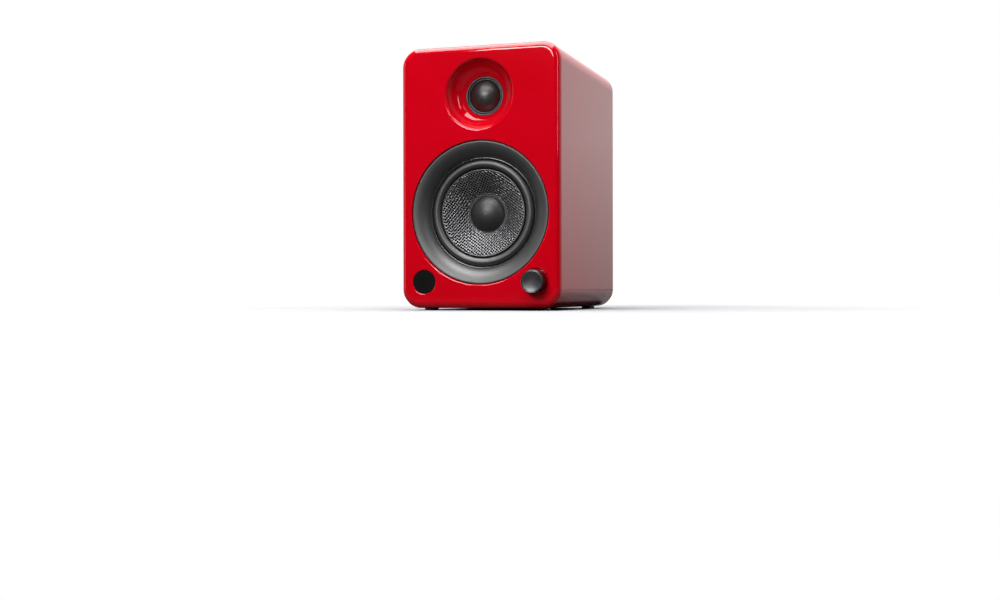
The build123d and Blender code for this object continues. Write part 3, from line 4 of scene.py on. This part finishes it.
import bmesh
import bpy
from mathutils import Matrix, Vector
from mathutils.bvhtree import BVHTree
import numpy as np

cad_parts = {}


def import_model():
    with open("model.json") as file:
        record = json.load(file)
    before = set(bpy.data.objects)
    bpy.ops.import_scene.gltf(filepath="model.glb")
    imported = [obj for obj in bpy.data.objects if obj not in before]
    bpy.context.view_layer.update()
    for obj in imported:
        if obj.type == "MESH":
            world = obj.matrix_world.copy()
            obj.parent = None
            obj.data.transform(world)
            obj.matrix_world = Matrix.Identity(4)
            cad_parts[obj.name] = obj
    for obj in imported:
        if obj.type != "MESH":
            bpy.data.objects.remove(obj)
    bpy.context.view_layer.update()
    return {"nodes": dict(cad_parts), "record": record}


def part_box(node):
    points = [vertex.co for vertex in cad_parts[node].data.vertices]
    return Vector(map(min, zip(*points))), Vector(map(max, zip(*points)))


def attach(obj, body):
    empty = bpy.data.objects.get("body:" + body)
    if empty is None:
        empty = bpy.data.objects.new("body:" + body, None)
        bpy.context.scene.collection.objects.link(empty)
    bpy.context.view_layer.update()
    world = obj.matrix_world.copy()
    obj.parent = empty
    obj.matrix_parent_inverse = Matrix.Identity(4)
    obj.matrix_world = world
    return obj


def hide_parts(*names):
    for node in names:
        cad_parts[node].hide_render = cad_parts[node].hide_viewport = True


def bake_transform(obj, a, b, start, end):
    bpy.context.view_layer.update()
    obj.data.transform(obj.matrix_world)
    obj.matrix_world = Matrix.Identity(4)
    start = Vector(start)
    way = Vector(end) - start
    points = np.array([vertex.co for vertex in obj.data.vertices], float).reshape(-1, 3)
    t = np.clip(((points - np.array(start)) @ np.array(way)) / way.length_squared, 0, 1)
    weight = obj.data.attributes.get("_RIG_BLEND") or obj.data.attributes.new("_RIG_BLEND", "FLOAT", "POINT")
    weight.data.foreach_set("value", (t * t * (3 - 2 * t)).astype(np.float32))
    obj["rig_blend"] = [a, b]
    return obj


# A powered two-way bookshelf speaker. All sizes are in metres, in the frame of the solids:
# +Z is up and -Y is the front.
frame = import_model()
NODES = frame["nodes"]

# Camera, with its angles in degrees
IMAGE_W = 1000
FOCAL_PX = 1283.1
SENSOR_MM = 36.0
CAMERA_AT = (0.3519, -1.10965, 0.0155)
CAMERA_YAW = 18.26
CAMERA_PITCH = -0.359
CAMERA_ROLL = 0.1

# Woven cone
WEAVE_PITCH = 0.00195    # between neighbouring threads
WEAVE_ANGLE = -34.0      # of one family of threads, in degrees up from level
THREAD_W = 0.00085
THREAD_T = 0.0004
THREAD_SWING = 0.00018   # how far a thread rises and falls as it passes the others
WEAVE_OUT_R = 0.0369     # outer end of the threads
WEAVE_HIDDEN = 0.0006    # threads run this far under the rim of the dust cap
PROFILE_STEPS = 60       # stretches in which the cone's front is read
PROFILE_EDGE = 0.00008   # the last one ends this far inside the cone's edge
PROFILE_AHEAD = 0.003    # rays start this far in front of the cone
PROFILE_ASIDE = 0.001    # and this share of their radius above its middle, off the mesh's edges
SEAM = 0.0005            # radius of the glue beads at the cap and at the rim

# Knob
KNOB_HOLLOW = 6.0        # rise of its face in metres for a square metre of distance from its axis
KNOB_RIM = 0.0004        # round edge of the face
KNOB_PIN = 0.00004       # radius at which the turned face ends, in its middle
KNOB_SKIN = 0.0001       # the face lies this far in front of the solid
KNOB_FACE_ZONE = 0.001   # points of the solid this near to its front belong to its face
KNOB_EDGE_ZONE = 0.00001  # and those this near belong to the edge of the face

# Woofer trim
TRIM_LIP = 0.0008        # radius of the bead on its inner edge
TRIM_LIP_OUT = 0.3       # the bead's middle, in radii outwards from that edge
TRIM_LIP_AHEAD = 0.7     # and in front of it
TRIM_LIP_ZONE = 0.2      # points this near to the edge, in radii, give its front

# Surrounds
SURROUND_T = 0.0008
SURROUND_LAND = 0.003    # glued width outside the roll
SURROUND_INNER_LAND = 0.0015
TWEETER_SURROUND_T = 0.00035
TWEETER_SURROUND_LAND = 0.00085
TWEETER_SURROUND_INNER_LAND = 0.0
ROUND_SIDES = 144        # round a turned piece
ROLL_STEPS = 20          # along an arc of its outline

# Materials
NOISE_RANGE = (0.3, 0.7)  # where most values of a noise lie
GREY_BLUE = 1.03         # blue of a grey, against its red and green
DOME_LUMPS = 420         # to the metre
DOME_LUMP_H = 0.00025
KNOB_PATCHES = 160       # to the metre
PAIR_PATCHES = 200       # to the metre
STEEL_DARK = 0.9         # darker patches of bare metal, against its lighter ones
STEEL_ROUGH = 0.1        # the lighter ones are this much rougher


def middle_of(node):
    low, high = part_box(node)
    return (low + high) / 2


# Node helpers for the materials

def new_material(name):
    material = bpy.data.materials.new(name)
    material.use_nodes = True
    return material, material.node_tree, material.node_tree.nodes["Principled BSDF"]


def place(tree, centre=(0, 0, 0), stretch=(1, 1, 1)):
    """Object coordinates in metres, counted from a centre."""
    source = tree.nodes.new("ShaderNodeTexCoord")
    shift = tree.nodes.new("ShaderNodeVectorMath")
    shift.operation = "SUBTRACT"
    shift.inputs[1].default_value = centre
    scale = tree.nodes.new("ShaderNodeVectorMath")
    scale.operation = "MULTIPLY"
    scale.inputs[1].default_value = stretch
    tree.links.new(source.outputs["Object"], shift.inputs[0])
    tree.links.new(shift.outputs[0], scale.inputs[0])
    return scale.outputs[0]


def noise(tree, waves, detail=3.0):
    """Noise from 0 to 1, with a number of waves to the metre."""
    texture = tree.nodes.new("ShaderNodeTexNoise")
    texture.inputs["Scale"].default_value = waves
    texture.inputs["Detail"].default_value = detail
    tree.links.new(place(tree), texture.inputs["Vector"])
    return texture.outputs["Fac"]


def spread(tree, factor, low, high):
    """A factor around its middle, spread from low to high."""
    node = tree.nodes.new("ShaderNodeMapRange")
    node.inputs["From Min"].default_value, node.inputs["From Max"].default_value = NOISE_RANGE
    node.inputs["To Min"].default_value = low
    node.inputs["To Max"].default_value = high
    tree.links.new(factor, node.inputs["Value"])
    return node.outputs["Result"]


def two_tone(tree, factor, low, high):
    node = tree.nodes.new("ShaderNodeMix")
    node.data_type = "RGBA"
    node.inputs["A"].default_value = (*low, 1)
    node.inputs["B"].default_value = (*high, 1)
    tree.links.new(factor, node.inputs["Factor"])
    return node.outputs["Result"]


def bump(tree, shader, height, distance):
    node = tree.nodes.new("ShaderNodeBump")
    node.inputs["Distance"].default_value = distance
    node.inputs["Strength"].default_value = 1.0
    tree.links.new(height, node.inputs["Height"])
    tree.links.new(node.outputs["Normal"], shader.inputs["Normal"])


def finish(name, dark, light, rough, patch=60, grain=2500, depth=0.00002, **sockets):
    """A surface with soft patches of colour and gloss and a fine grain."""
    material, tree, shader = new_material(name)
    cloud = noise(tree, patch)
    tree.links.new(two_tone(tree, spread(tree, cloud, 0, 1), dark, light), shader.inputs["Base Color"])
    tree.links.new(spread(tree, cloud, *rough), shader.inputs["Roughness"])
    bump(tree, shader, noise(tree, grain, detail=2.0), depth)
    for socket, value in sockets.items():
        shader.inputs[socket.replace("_", " ")].default_value = value
    return material


def grey(level):
    return (level, level, level * GREY_BLUE)


# Surfaces

SHEEN = {"IOR": 1.65, "Specular_IOR_Level": 1.0}  # satin black, brighter in a lamp than plain plastic


def red_lacquer():
    """Gloss lacquer, a little uneven as sprayed lacquer is."""
    return finish("red_lacquer", (0.53, 0.0, 0.006), (0.57, 0.0, 0.009), (0.045, 0.06),
                  patch=25, grain=220, depth=0.000012, IOR=1.5)


def black_plastic():
    return finish("black_plastic", grey(0.006), grey(0.009), (0.46, 0.52), grain=3000, **SHEEN)


def roll_rubber():
    return finish("roll_rubber", grey(0.006), grey(0.009), (0.44, 0.5), patch=90, grain=1800, **SHEEN)


def cone_weave():
    return finish("cone_weave", grey(0.003), grey(0.005), (0.5, 0.6), patch=300, grain=9000,
                  Specular_IOR_Level=0.1)


def cap_black():
    return finish("cap_black", grey(0.004), grey(0.006), (0.46, 0.5), grain=4000, IOR=1.6,
                  Specular_IOR_Level=0.8)


def dome_fabric():
    """Coated cloth: its skin is a little lumpy, so its highlight breaks up."""
    material, tree, shader = new_material("dome_fabric")
    lumps = noise(tree, DOME_LUMPS, detail=2.0)
    shader.inputs["Base Color"].default_value = (*grey(0.004), 1)
    tree.links.new(spread(tree, lumps, 0.36, 0.5), shader.inputs["Roughness"])
    bump(tree, shader, lumps, DOME_LUMP_H)
    shader.inputs["IOR"].default_value = SHEEN["IOR"]
    shader.inputs["Specular IOR Level"].default_value = 0.75
    return material


def window_plastic():
    return finish("window_plastic", grey(0.006), grey(0.008), (0.1, 0.14), grain=1500, depth=0.000004)


# The knob's body: the same metal as its face, but about a quarter as bright. This is painted shade on its
# sides, and it dims the highlight on the rim of its face.
def knob_metal():
    return finish("knob_metal", grey(0.025), grey(0.035), (0.3, 0.36), patch=200, Metallic=1.0)


def knob_face_metal():
    """Dark turned metal. Its face is a little hollow, so its light runs from one edge to the other. It is
    about four times as bright as the knob's body, whose darker copy of this metal is painted shade.
    """
    material, tree, shader = new_material("knob_face_metal")
    axis = place(tree, middle_of("volume_knob"), (1, 0, 1))
    away = tree.nodes.new("ShaderNodeVectorMath")
    away.operation = "DOT_PRODUCT"
    tree.links.new(axis, away.inputs[0])
    tree.links.new(axis, away.inputs[1])
    hollow = tree.nodes.new("ShaderNodeMath")
    hollow.operation = "MULTIPLY"
    hollow.inputs[1].default_value = KNOB_HOLLOW
    tree.links.new(away.outputs["Value"], hollow.inputs[0])
    cloud = noise(tree, KNOB_PATCHES)
    tree.links.new(two_tone(tree, cloud, grey(0.1), grey(0.14)), shader.inputs["Base Color"])
    tree.links.new(spread(tree, cloud, 0.28, 0.36), shader.inputs["Roughness"])
    bump(tree, shader, hollow.outputs[0], 1.0)  # its height is in metres
    shader.inputs["Metallic"].default_value = 1.0
    return material


def thread_gloss():
    """Coated thread, which shines more than the cone behind it."""
    return finish("thread_gloss", grey(0.21), grey(0.28), (0.22, 0.3), patch=300, grain=9000,
                  Metallic=0.8)


def gloss_black():
    """Thin moulded lips."""
    return finish("gloss_black", grey(0.006), grey(0.009), (0.24, 0.3), **SHEEN)


def glue_grey():
    """Beads of dried glue, duller and lighter than the rubber."""
    return finish("glue_grey", grey(0.045), grey(0.065), (0.42, 0.5), **SHEEN)


def halves(name, left, right, rough):
    """Two colours for a pair of pieces, one on each side of their middle."""
    material, tree, shader = new_material(name)
    split = tree.nodes.new("ShaderNodeSeparateXYZ")
    tree.links.new(place(tree, middle_of(name)), split.inputs[0])
    side = tree.nodes.new("ShaderNodeMath")
    side.operation = "GREATER_THAN"
    tree.links.new(split.outputs["X"], side.inputs[0])
    side.inputs[1].default_value = 0.0
    tree.links.new(two_tone(tree, side.outputs[0], left, right), shader.inputs["Base Color"])
    tree.links.new(spread(tree, noise(tree, PAIR_PATCHES), *rough), shader.inputs["Roughness"])
    return material


def steel(name, level, rough):
    """Bare or blackened metal."""
    return finish(name, grey(level * STEEL_DARK), grey(level), (rough, rough + STEEL_ROUGH), grain=400,
                  Metallic=1.0)


MATERIALS = {
    "red_lacquer": red_lacquer,
    "black_panel": lambda: finish("black_panel", grey(0.014), grey(0.02), (0.5, 0.6),
                                  grain=1400, depth=0.00008),
    "black_plastic": black_plastic,
    "window_plastic": window_plastic,
    "red_plastic": lambda: finish("red_plastic", (0.42, 0.01, 0.01), (0.5, 0.015, 0.015), (0.3, 0.4)),
    "white_plastic": lambda: halves("rca_inserts", (0.75, 0.75, 0.72), (0.5, 0.01, 0.01), (0.3, 0.4)),
    "knob_metal": knob_metal,
    "cone_weave": cone_weave,
    "cap_black": cap_black,
    "roll_rubber": roll_rubber,
    "dome_fabric": dome_fabric,
    "spider_cloth": lambda: finish("spider_cloth", (0.4, 0.26, 0.08), (0.5, 0.34, 0.12), (0.7, 0.8),
                                   grain=2000),
    "foam": lambda: finish("foam", grey(0.05), grey(0.09), (0.9, 0.95),
                           patch=300, grain=600, depth=0.0006),
    "frame_steel": lambda: finish("frame_steel", grey(0.015), grey(0.025), (0.35, 0.45)),
    "plate_metal": lambda: finish("plate_metal", grey(0.012), grey(0.02), (0.42, 0.5),
                                  grain=2200, depth=0.00004),
    "zinc_steel": lambda: steel("zinc_steel", 0.6, 0.3),
    "black_screw": lambda: steel("black_screw", 0.05, 0.35),
    "ferrite": lambda: finish("ferrite", grey(0.03), grey(0.05), (0.5, 0.6)),
    "bare_aluminium": lambda: steel("bare_aluminium", 0.75, 0.3),
    "copper": lambda: finish("copper", (0.55, 0.2, 0.09), (0.65, 0.26, 0.12), (0.25, 0.35),
                             Metallic=1.0),
    "gold_plate": lambda: finish("gold_plate", (0.75, 0.5, 0.18), (0.85, 0.6, 0.25), (0.16, 0.24),
                                 Metallic=1.0),
    "board": lambda: finish("board", (0.01, 0.09, 0.03), (0.015, 0.13, 0.045), (0.35, 0.45), patch=400),
    "wire_cover": lambda: halves("speaker_wires", grey(0.02), (0.35, 0.01, 0.01), (0.35, 0.45)),
    "plunger_plastic": lambda: finish("plunger_plastic", (0.7, 0.7, 0.66), (0.78, 0.78, 0.74),
                                      (0.4, 0.5)),
}
made = {slot: make() for slot, make in MATERIALS.items()}
GLOSS_BLACK = gloss_black()
GLUE_GREY = glue_grey()
for row in frame["record"]["subparts"]:
    for holder in NODES[row["node"]].material_slots:
        holder.material = made[row["material_slot"]]


# Mesh helpers

def new_piece(name, points, faces, slot, material=None):
    mesh = bpy.data.meshes.new(name)
    mesh.from_pydata(points, [], faces)
    mesh.update()
    tidy = bmesh.new()
    tidy.from_mesh(mesh)
    bmesh.ops.recalc_face_normals(tidy, faces=tidy.faces)
    tidy.to_mesh(mesh)
    tidy.free()
    mesh.shade_smooth()
    mesh.materials.append(material or made[slot])
    piece = bpy.data.objects.new(name, mesh)
    bpy.context.scene.collection.objects.link(piece)
    return piece


def turned(centre, outline):
    """Points and faces of a closed outline of (radius, Y), turned about a front-to-back axis."""
    points = []
    faces = []
    rows = len(outline)
    for side in range(ROUND_SIDES):
        turn = 2 * pi * side / ROUND_SIDES
        points += [(centre.x + r * cos(turn), y, centre.z + r * sin(turn)) for r, y in outline]
        here = side * rows
        there = (side + 1) % ROUND_SIDES * rows
        for row in range(rows):
            after = (row + 1) % rows
            faces.append((here + row, here + after, there + after, there + row))
    return points, faces


def arc(middle, y, radius, steps, start=0.0, end=pi):
    """Points of (radius, Y) on an arc that bulges to the front."""
    turns = [start + (end - start) * i / steps for i in range(steps + 1)]
    return [(middle + radius * cos(turn), y - radius * sin(turn)) for turn in turns]


def circle(middle, y, radius):
    return arc(middle, y, radius, ROLL_STEPS, 0, 2 * pi)[:-1]


def reach_of(node):
    """Distance from the axis and Y of each point of a round solid."""
    centre = middle_of(node)
    return [(hypot(v.co.x - centre.x, v.co.z - centre.z), v.co.y) for v in NODES[node].data.vertices]


# Surrounds: half rolls that bend between the fixed frame and the moving cone or dome

def half_roll(name, node, body, thick, land, inner_land, slot):
    """A half roll in place of a node. It stays still at its outer edge and moves at its inner edge."""
    low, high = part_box(node)
    centre = middle_of(node)
    outer = (high.x - low.x) / 2
    front = high.y - thick
    radius = high.y - thick / 2 - low.y
    middle = outer - land - radius
    inside = radius - thick
    outline = [(outer, front), *arc(middle, front, radius - thick / 2, ROLL_STEPS)]
    outline += [(middle - radius - inner_land, front), (middle - radius - inner_land, high.y)]
    outline += arc(middle, high.y, inside, ROLL_STEPS)[::-1]
    outline += [(outer, high.y)]
    piece = new_piece(name, *turned(centre, outline), slot)
    rim = centre + Vector((middle + radius, 0, 0))
    neck = centre + Vector((middle - radius, 0, 0))
    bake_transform(piece, "root", body, start=rim, end=neck)
    bend = piece.data.attributes["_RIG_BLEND"].data
    for point, weight in zip(piece.data.vertices, bend):
        along = hypot(point.co.x - centre.x, point.co.z - centre.z)
        share = min(max((middle + radius - along) / (2 * radius), 0), 1)
        weight.value = share * share * (3 - 2 * share)
    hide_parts(node)


def bead(name, node, tube, slot, material):
    """A rounded bead on the inner edge of a ring."""
    reach = reach_of(node)
    radius = min(r for r, _ in reach)
    front = min(y for r, y in reach if r < radius + tube * TRIM_LIP_ZONE)
    outline = circle(radius + tube * TRIM_LIP_OUT, front - tube * TRIM_LIP_AHEAD, tube)
    piece = new_piece(name, *turned(middle_of(node), outline), slot, material)
    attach(piece, "root")


def knob_face():
    """A thin dished face with a round edge, on the front of the knob."""
    centre = middle_of("volume_knob")
    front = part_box("volume_knob")[0].y
    reach = reach_of("volume_knob")
    deep = min((r, y) for r, y in reach if y < front + KNOB_FACE_ZONE)[1]
    edge = max(r for r, y in reach if y < front + KNOB_EDGE_ZONE)
    dish = deep - front
    rows = [(edge * i / ROLL_STEPS, front + dish * (1 - (i / ROLL_STEPS) ** 2) - KNOB_SKIN)
            for i in range(ROLL_STEPS)]
    rows[0] = (KNOB_PIN, rows[0][1])
    rim = arc(edge, front, KNOB_RIM, ROLL_STEPS // 2, pi, 0)
    outline = [row for row in rows if row[0] < edge - KNOB_RIM] + rim + [(edge, front + KNOB_RIM)]
    outline += [(KNOB_PIN, deep + KNOB_RIM)]
    piece = new_piece("knob_face", *turned(centre, outline), "knob_metal", knob_face_metal())
    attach(piece, "volume_knob")


bead("trim_lip", "woofer_trim_ring", TRIM_LIP, "black_plastic", GLOSS_BLACK)
knob_face()
half_roll("rubber_roll", "woofer_surround", "woofer_cone_assembly", SURROUND_T, SURROUND_LAND,
          SURROUND_INNER_LAND, "roll_rubber")
half_roll("dome_roll", "tweeter_surround", "tweeter_dome_assembly", TWEETER_SURROUND_T,
          TWEETER_SURROUND_LAND, TWEETER_SURROUND_INNER_LAND, "dome_fabric")


# Woven cone: threads that pass over and under each other on the front of the cone

def cone_profile():
    """Radii and depths along the front of the cone, read from the solid."""
    mesh = NODES["woofer_cone"].data
    solid = BVHTree.FromPolygons([v.co for v in mesh.vertices], [p.vertices for p in mesh.polygons])
    low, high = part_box("woofer_cone")
    centre = middle_of("woofer_cone")
    cap_low, cap_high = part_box("woofer_dust_cap")
    first = (cap_high.x - cap_low.x) / 2 - 2 * WEAVE_HIDDEN
    last = (high.x - low.x) / 2 - PROFILE_EDGE
    rows = []
    for i in range(PROFILE_STEPS + 1):
        radius = first + (last - first) * i / PROFILE_STEPS
        start = Vector((centre.x + radius, low.y - PROFILE_AHEAD, centre.z + radius * PROFILE_ASIDE))
        hit = solid.ray_cast(start, Vector((0, 1, 0)))[0]
        rows.append((radius, hit.y))
    return centre, rows


CONE_CENTRE, CONE_ROWS = cone_profile()
CAP_R = CONE_ROWS[0][0] + 2 * WEAVE_HIDDEN
CONE_STEP = CONE_ROWS[1][0] - CONE_ROWS[0][0]


def on_cone(x, z, lift):
    """A point lifted off the cone's front, from its place across and up from the cone's axis."""
    radius = hypot(x, z)
    i = min(max(int((radius - CONE_ROWS[0][0]) / CONE_STEP), 0), PROFILE_STEPS - 1)
    (near, near_y), (_, far_y) = CONE_ROWS[i:i + 2]
    slope = (far_y - near_y) / CONE_STEP
    depth = near_y + (radius - near) * slope
    length = hypot(slope, 1)
    inward = slope / length * lift / radius
    return (CONE_CENTRE.x + x * (1 + inward), depth - lift / length, CONE_CENTRE.z + z * (1 + inward))


def thread_section():
    """Places across a thread and heights above its underside."""
    half = THREAD_W / 2
    turns = (pi, pi * 0.75, pi / 2, pi * 0.25, 0)
    round_top = [(half * cos(turn), THREAD_T * sin(turn)) for turn in turns]
    return [*round_top, (0, -THREAD_T / 2)]


def thread_runs(offset):
    """Stretches of a line at an offset from the cone's axis that lie between cap and rim."""
    outer = WEAVE_OUT_R ** 2 - (abs(offset) + THREAD_W / 2) ** 2
    if outer <= 0:
        return []
    end = outer ** 0.5
    hidden = CAP_R - WEAVE_HIDDEN
    inner = hidden ** 2 - (abs(offset) - THREAD_W / 2) ** 2
    if abs(offset) - THREAD_W / 2 > hidden or inner <= 0:
        return [(-end, end)]
    gap = inner ** 0.5
    return [(-end, -gap), (gap, end)] if end > gap else []


def weave():
    """One mesh of all the threads, both ways."""
    points = []
    faces = []
    section = thread_section()
    sides = len(section)
    lines = int(WEAVE_OUT_R / WEAVE_PITCH) + 1
    half = WEAVE_PITCH / 2
    slack = half / 4  # no stop lies this near to a thread's end
    for family, turn in enumerate((WEAVE_ANGLE, WEAVE_ANGLE + 90)):
        along = (cos(radians(turn)), sin(radians(turn)))
        across = (-along[1], along[0])
        for k in range(-lines, lines):
            offset = (k + 0.5) * WEAVE_PITCH
            for start, end in thread_runs(offset):
                stops = [j * half for j in range(int(start / half) - 1, int(end / half) + 2)]
                stops = [start, *[s for s in stops if start + slack < s < end - slack], end]
                steps = len(stops) - 1
                first = len(points)
                for s in stops:
                    wave = cos(pi * (s / WEAVE_PITCH - 0.5) + pi * (k + family))
                    for side, height in section:
                        x = along[0] * s + across[0] * (offset + side)
                        z = along[1] * s + across[1] * (offset + side)
                        points.append(on_cone(x, z, THREAD_T + THREAD_SWING * (1 + wave) + height))
                for i in range(steps):
                    a = first + i * sides
                    for j in range(sides):
                        after = (j + 1) % sides
                        faces.append((a + j, a + after, a + sides + after, a + sides + j))
                last = first + steps * sides
                faces.append(tuple(range(first, first + sides)))
                faces.append(tuple(range(last + sides - 1, last - 1, -1)))
    return points, faces


def seam(name, radius):
    """A bead of glue round the cone, over the ends of the threads."""
    depth = on_cone(radius, 0, 2 * THREAD_T + THREAD_SWING)[1]
    outline = circle(radius, depth, SEAM)
    piece = new_piece(name, *turned(CONE_CENTRE, outline), "roll_rubber", GLUE_GREY)
    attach(piece, "woofer_cone_assembly")


threads = new_piece("cone_threads", *weave(), "cone_weave", thread_gloss())
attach(threads, "woofer_cone_assembly")
seam("cone_edge_seam", WEAVE_OUT_R - SEAM)
seam("dust_cap_seam", CAP_R + SEAM)


# Stage: floor, light and camera

FLOOR_SIZE = 6.0
FLOOR_ROUGH = 0.9
FLOOR_SEEN = 0.4             # tone of the floor to the camera; it is darker to everything else
FLOOR_GLOSS = (0.05, 0.22)   # in reflections, in front of the speaker and behind it
FLOOR_BOUNCE = (0.12, 0.03)  # in the light that it gives back, in the same places
FLOOR_TURN = (-0.12, 0.0)    # Y between which it goes from the first tone to the second
GLOW_NEAR = 0.25             # the floor starts to glow this far out
GLOW_FAR = 1.0               # and is as white as the background here
FILL = 0.05                  # light from all round
ROOM = 0.02                  # what gloss sees in front of the speaker
HORIZON = 0.5                # what it sees behind the speaker, level and below
BACKDROP = 0.92              # and higher up
ROOM_TURN = (-0.1, 0.5)      # Y of a direction between which the room gives way to the backdrop
HORIZON_TOP = 0.12           # Z of a direction at which the backdrop is reached

# Lamps: place, the point that each looks at, width and height, watts
LAMPS = {
    "key": ((-0.351, -1.9, 0.88), (0, -0.1, 0.08), (0.6, 0.5), 19),
    "overhead": ((-0.1, -0.25, 1.35), (-0.1, -0.25, 0), (1.4, 1.6), 56),
    "left_strip": ((-1.4, -0.5, 0.35), (0, -0.1, 0.08), (0.5, 0.7), 1.2),
    "side_strip": ((1.2, -0.75, 0.75), (0.05, -0.1, 0.15), (0.06, 1.0), 2.4),
}


def floor():
    """A pale floor that keeps the shadow and fades into the white background.

    It is darker in reflections and in the light that it gives back than it is to the camera.
    """
    bpy.ops.mesh.primitive_plane_add(size=FLOOR_SIZE, location=(0, 0, 0))
    plane = bpy.context.object
    plane.name = "floor"
    material, tree, shader = new_material("pale_floor")
    path = tree.nodes.new("ShaderNodeLightPath")
    seen = path.outputs["Is Camera Ray"]
    split = tree.nodes.new("ShaderNodeSeparateXYZ")
    tree.links.new(place(tree), split.inputs[0])
    behind = tree.nodes.new("ShaderNodeMapRange")
    behind.inputs["From Min"].default_value, behind.inputs["From Max"].default_value = FLOOR_TURN
    tree.links.new(split.outputs["Y"], behind.inputs["Value"])
    tone = tree.nodes.new("ShaderNodeMix")
    tone.data_type = "RGBA"
    tone.inputs["B"].default_value = (*grey(FLOOR_SEEN), 1)
    tree.links.new(seen, tone.inputs["Factor"])
    unseen = tree.nodes.new("ShaderNodeMix")
    unseen.data_type = "RGBA"
    tree.links.new(path.outputs["Is Diffuse Ray"], unseen.inputs["Factor"])
    for socket, levels in (("A", FLOOR_GLOSS), ("B", FLOOR_BOUNCE)):
        near, far = (grey(level) for level in levels)
        tree.links.new(two_tone(tree, behind.outputs["Result"], near, far), unseen.inputs[socket])
    tree.links.new(unseen.outputs["Result"], tone.inputs["A"])
    tree.links.new(tone.outputs["Result"], shader.inputs["Base Color"])
    shader.inputs["Roughness"].default_value = FLOOR_ROUGH
    shader.inputs["Specular IOR Level"].default_value = 0.0
    shader.inputs["Emission Color"].default_value = (1, 1, 1, 1)
    away = tree.nodes.new("ShaderNodeVectorMath")
    away.operation = "LENGTH"
    tree.links.new(place(tree), away.inputs[0])
    rise = tree.nodes.new("ShaderNodeMapRange")
    rise.inputs["From Min"].default_value = GLOW_NEAR
    rise.inputs["From Max"].default_value = GLOW_FAR
    tree.links.new(away.outputs["Value"], rise.inputs["Value"])
    glow = tree.nodes.new("ShaderNodeMath")
    glow.operation = "MULTIPLY"
    tree.links.new(seen, glow.inputs[0])
    tree.links.new(rise.outputs["Result"], glow.inputs[1])
    tree.links.new(glow.outputs[0], shader.inputs["Emission Strength"])
    plane.data.materials.append(material)


def softbox(name, at, towards, size, watts):
    data = bpy.data.lights.new(name, "AREA")
    data.shape = "RECTANGLE"
    data.size, data.size_y = size
    data.energy = watts
    lamp = bpy.data.objects.new(name, data)
    lamp.location = at
    lamp.rotation_euler = (Vector(towards) - Vector(at)).to_track_quat("-Z", "Y").to_euler()
    bpy.context.scene.collection.objects.link(lamp)


def world():
    """White to the camera. Gloss sees a pale backdrop behind the speaker and a dark room in front."""
    sky = bpy.data.worlds.new("studio")
    bpy.context.scene.world = sky
    sky.use_nodes = True
    tree = sky.node_tree
    background = tree.nodes["Background"]
    path = tree.nodes.new("ShaderNodeLightPath")
    source = tree.nodes.new("ShaderNodeTexCoord")
    split = tree.nodes.new("ShaderNodeSeparateXYZ")
    tree.links.new(source.outputs["Generated"], split.inputs[0])
    behind = tree.nodes.new("ShaderNodeMapRange")
    behind.interpolation_type = "SMOOTHSTEP"
    behind.inputs["From Min"].default_value, behind.inputs["From Max"].default_value = ROOM_TURN
    tree.links.new(split.outputs["Y"], behind.inputs["Value"])
    level = tree.nodes.new("ShaderNodeMapRange")
    level.inputs["From Max"].default_value = HORIZON_TOP
    level.inputs["To Min"].default_value = HORIZON
    level.inputs["To Max"].default_value = BACKDROP
    tree.links.new(split.outputs["Z"], level.inputs["Value"])
    room = tree.nodes.new("ShaderNodeMix")
    room.inputs["A"].default_value = ROOM
    tree.links.new(behind.outputs["Result"], room.inputs["Factor"])
    tree.links.new(level.outputs["Result"], room.inputs["B"])
    seen = tree.nodes.new("ShaderNodeMath")
    seen.operation = "MAXIMUM"
    tree.links.new(path.outputs["Is Glossy Ray"], seen.inputs[0])
    tree.links.new(path.outputs["Is Transmission Ray"], seen.inputs[1])
    gloss = tree.nodes.new("ShaderNodeMix")
    gloss.inputs["A"].default_value = FILL
    tree.links.new(seen.outputs[0], gloss.inputs["Factor"])
    tree.links.new(room.outputs["Result"], gloss.inputs["B"])
    shown = tree.nodes.new("ShaderNodeMix")
    shown.inputs["B"].default_value = 1.0
    tree.links.new(path.outputs["Is Camera Ray"], shown.inputs["Factor"])
    tree.links.new(gloss.outputs["Result"], shown.inputs["A"])
    tree.links.new(shown.outputs["Result"], background.inputs["Strength"])
    background.inputs["Color"].default_value = (1, 1, 1, 1)


def camera():
    data = bpy.data.cameras.new("camera")
    data.sensor_width = SENSOR_MM
    data.lens = SENSOR_MM * FOCAL_PX / IMAGE_W
    eye = bpy.data.objects.new("camera", data)
    eye.location = CAMERA_AT
    eye.rotation_euler = (radians(90 + CAMERA_PITCH), radians(CAMERA_ROLL), radians(CAMERA_YAW))
    bpy.context.scene.collection.objects.link(eye)
    bpy.context.scene.camera = eye


floor()
world()
for lamp_name, lamp in LAMPS.items():
    softbox(lamp_name, *lamp)
camera()
bpy.context.scene.view_settings.view_transform = "Standard"
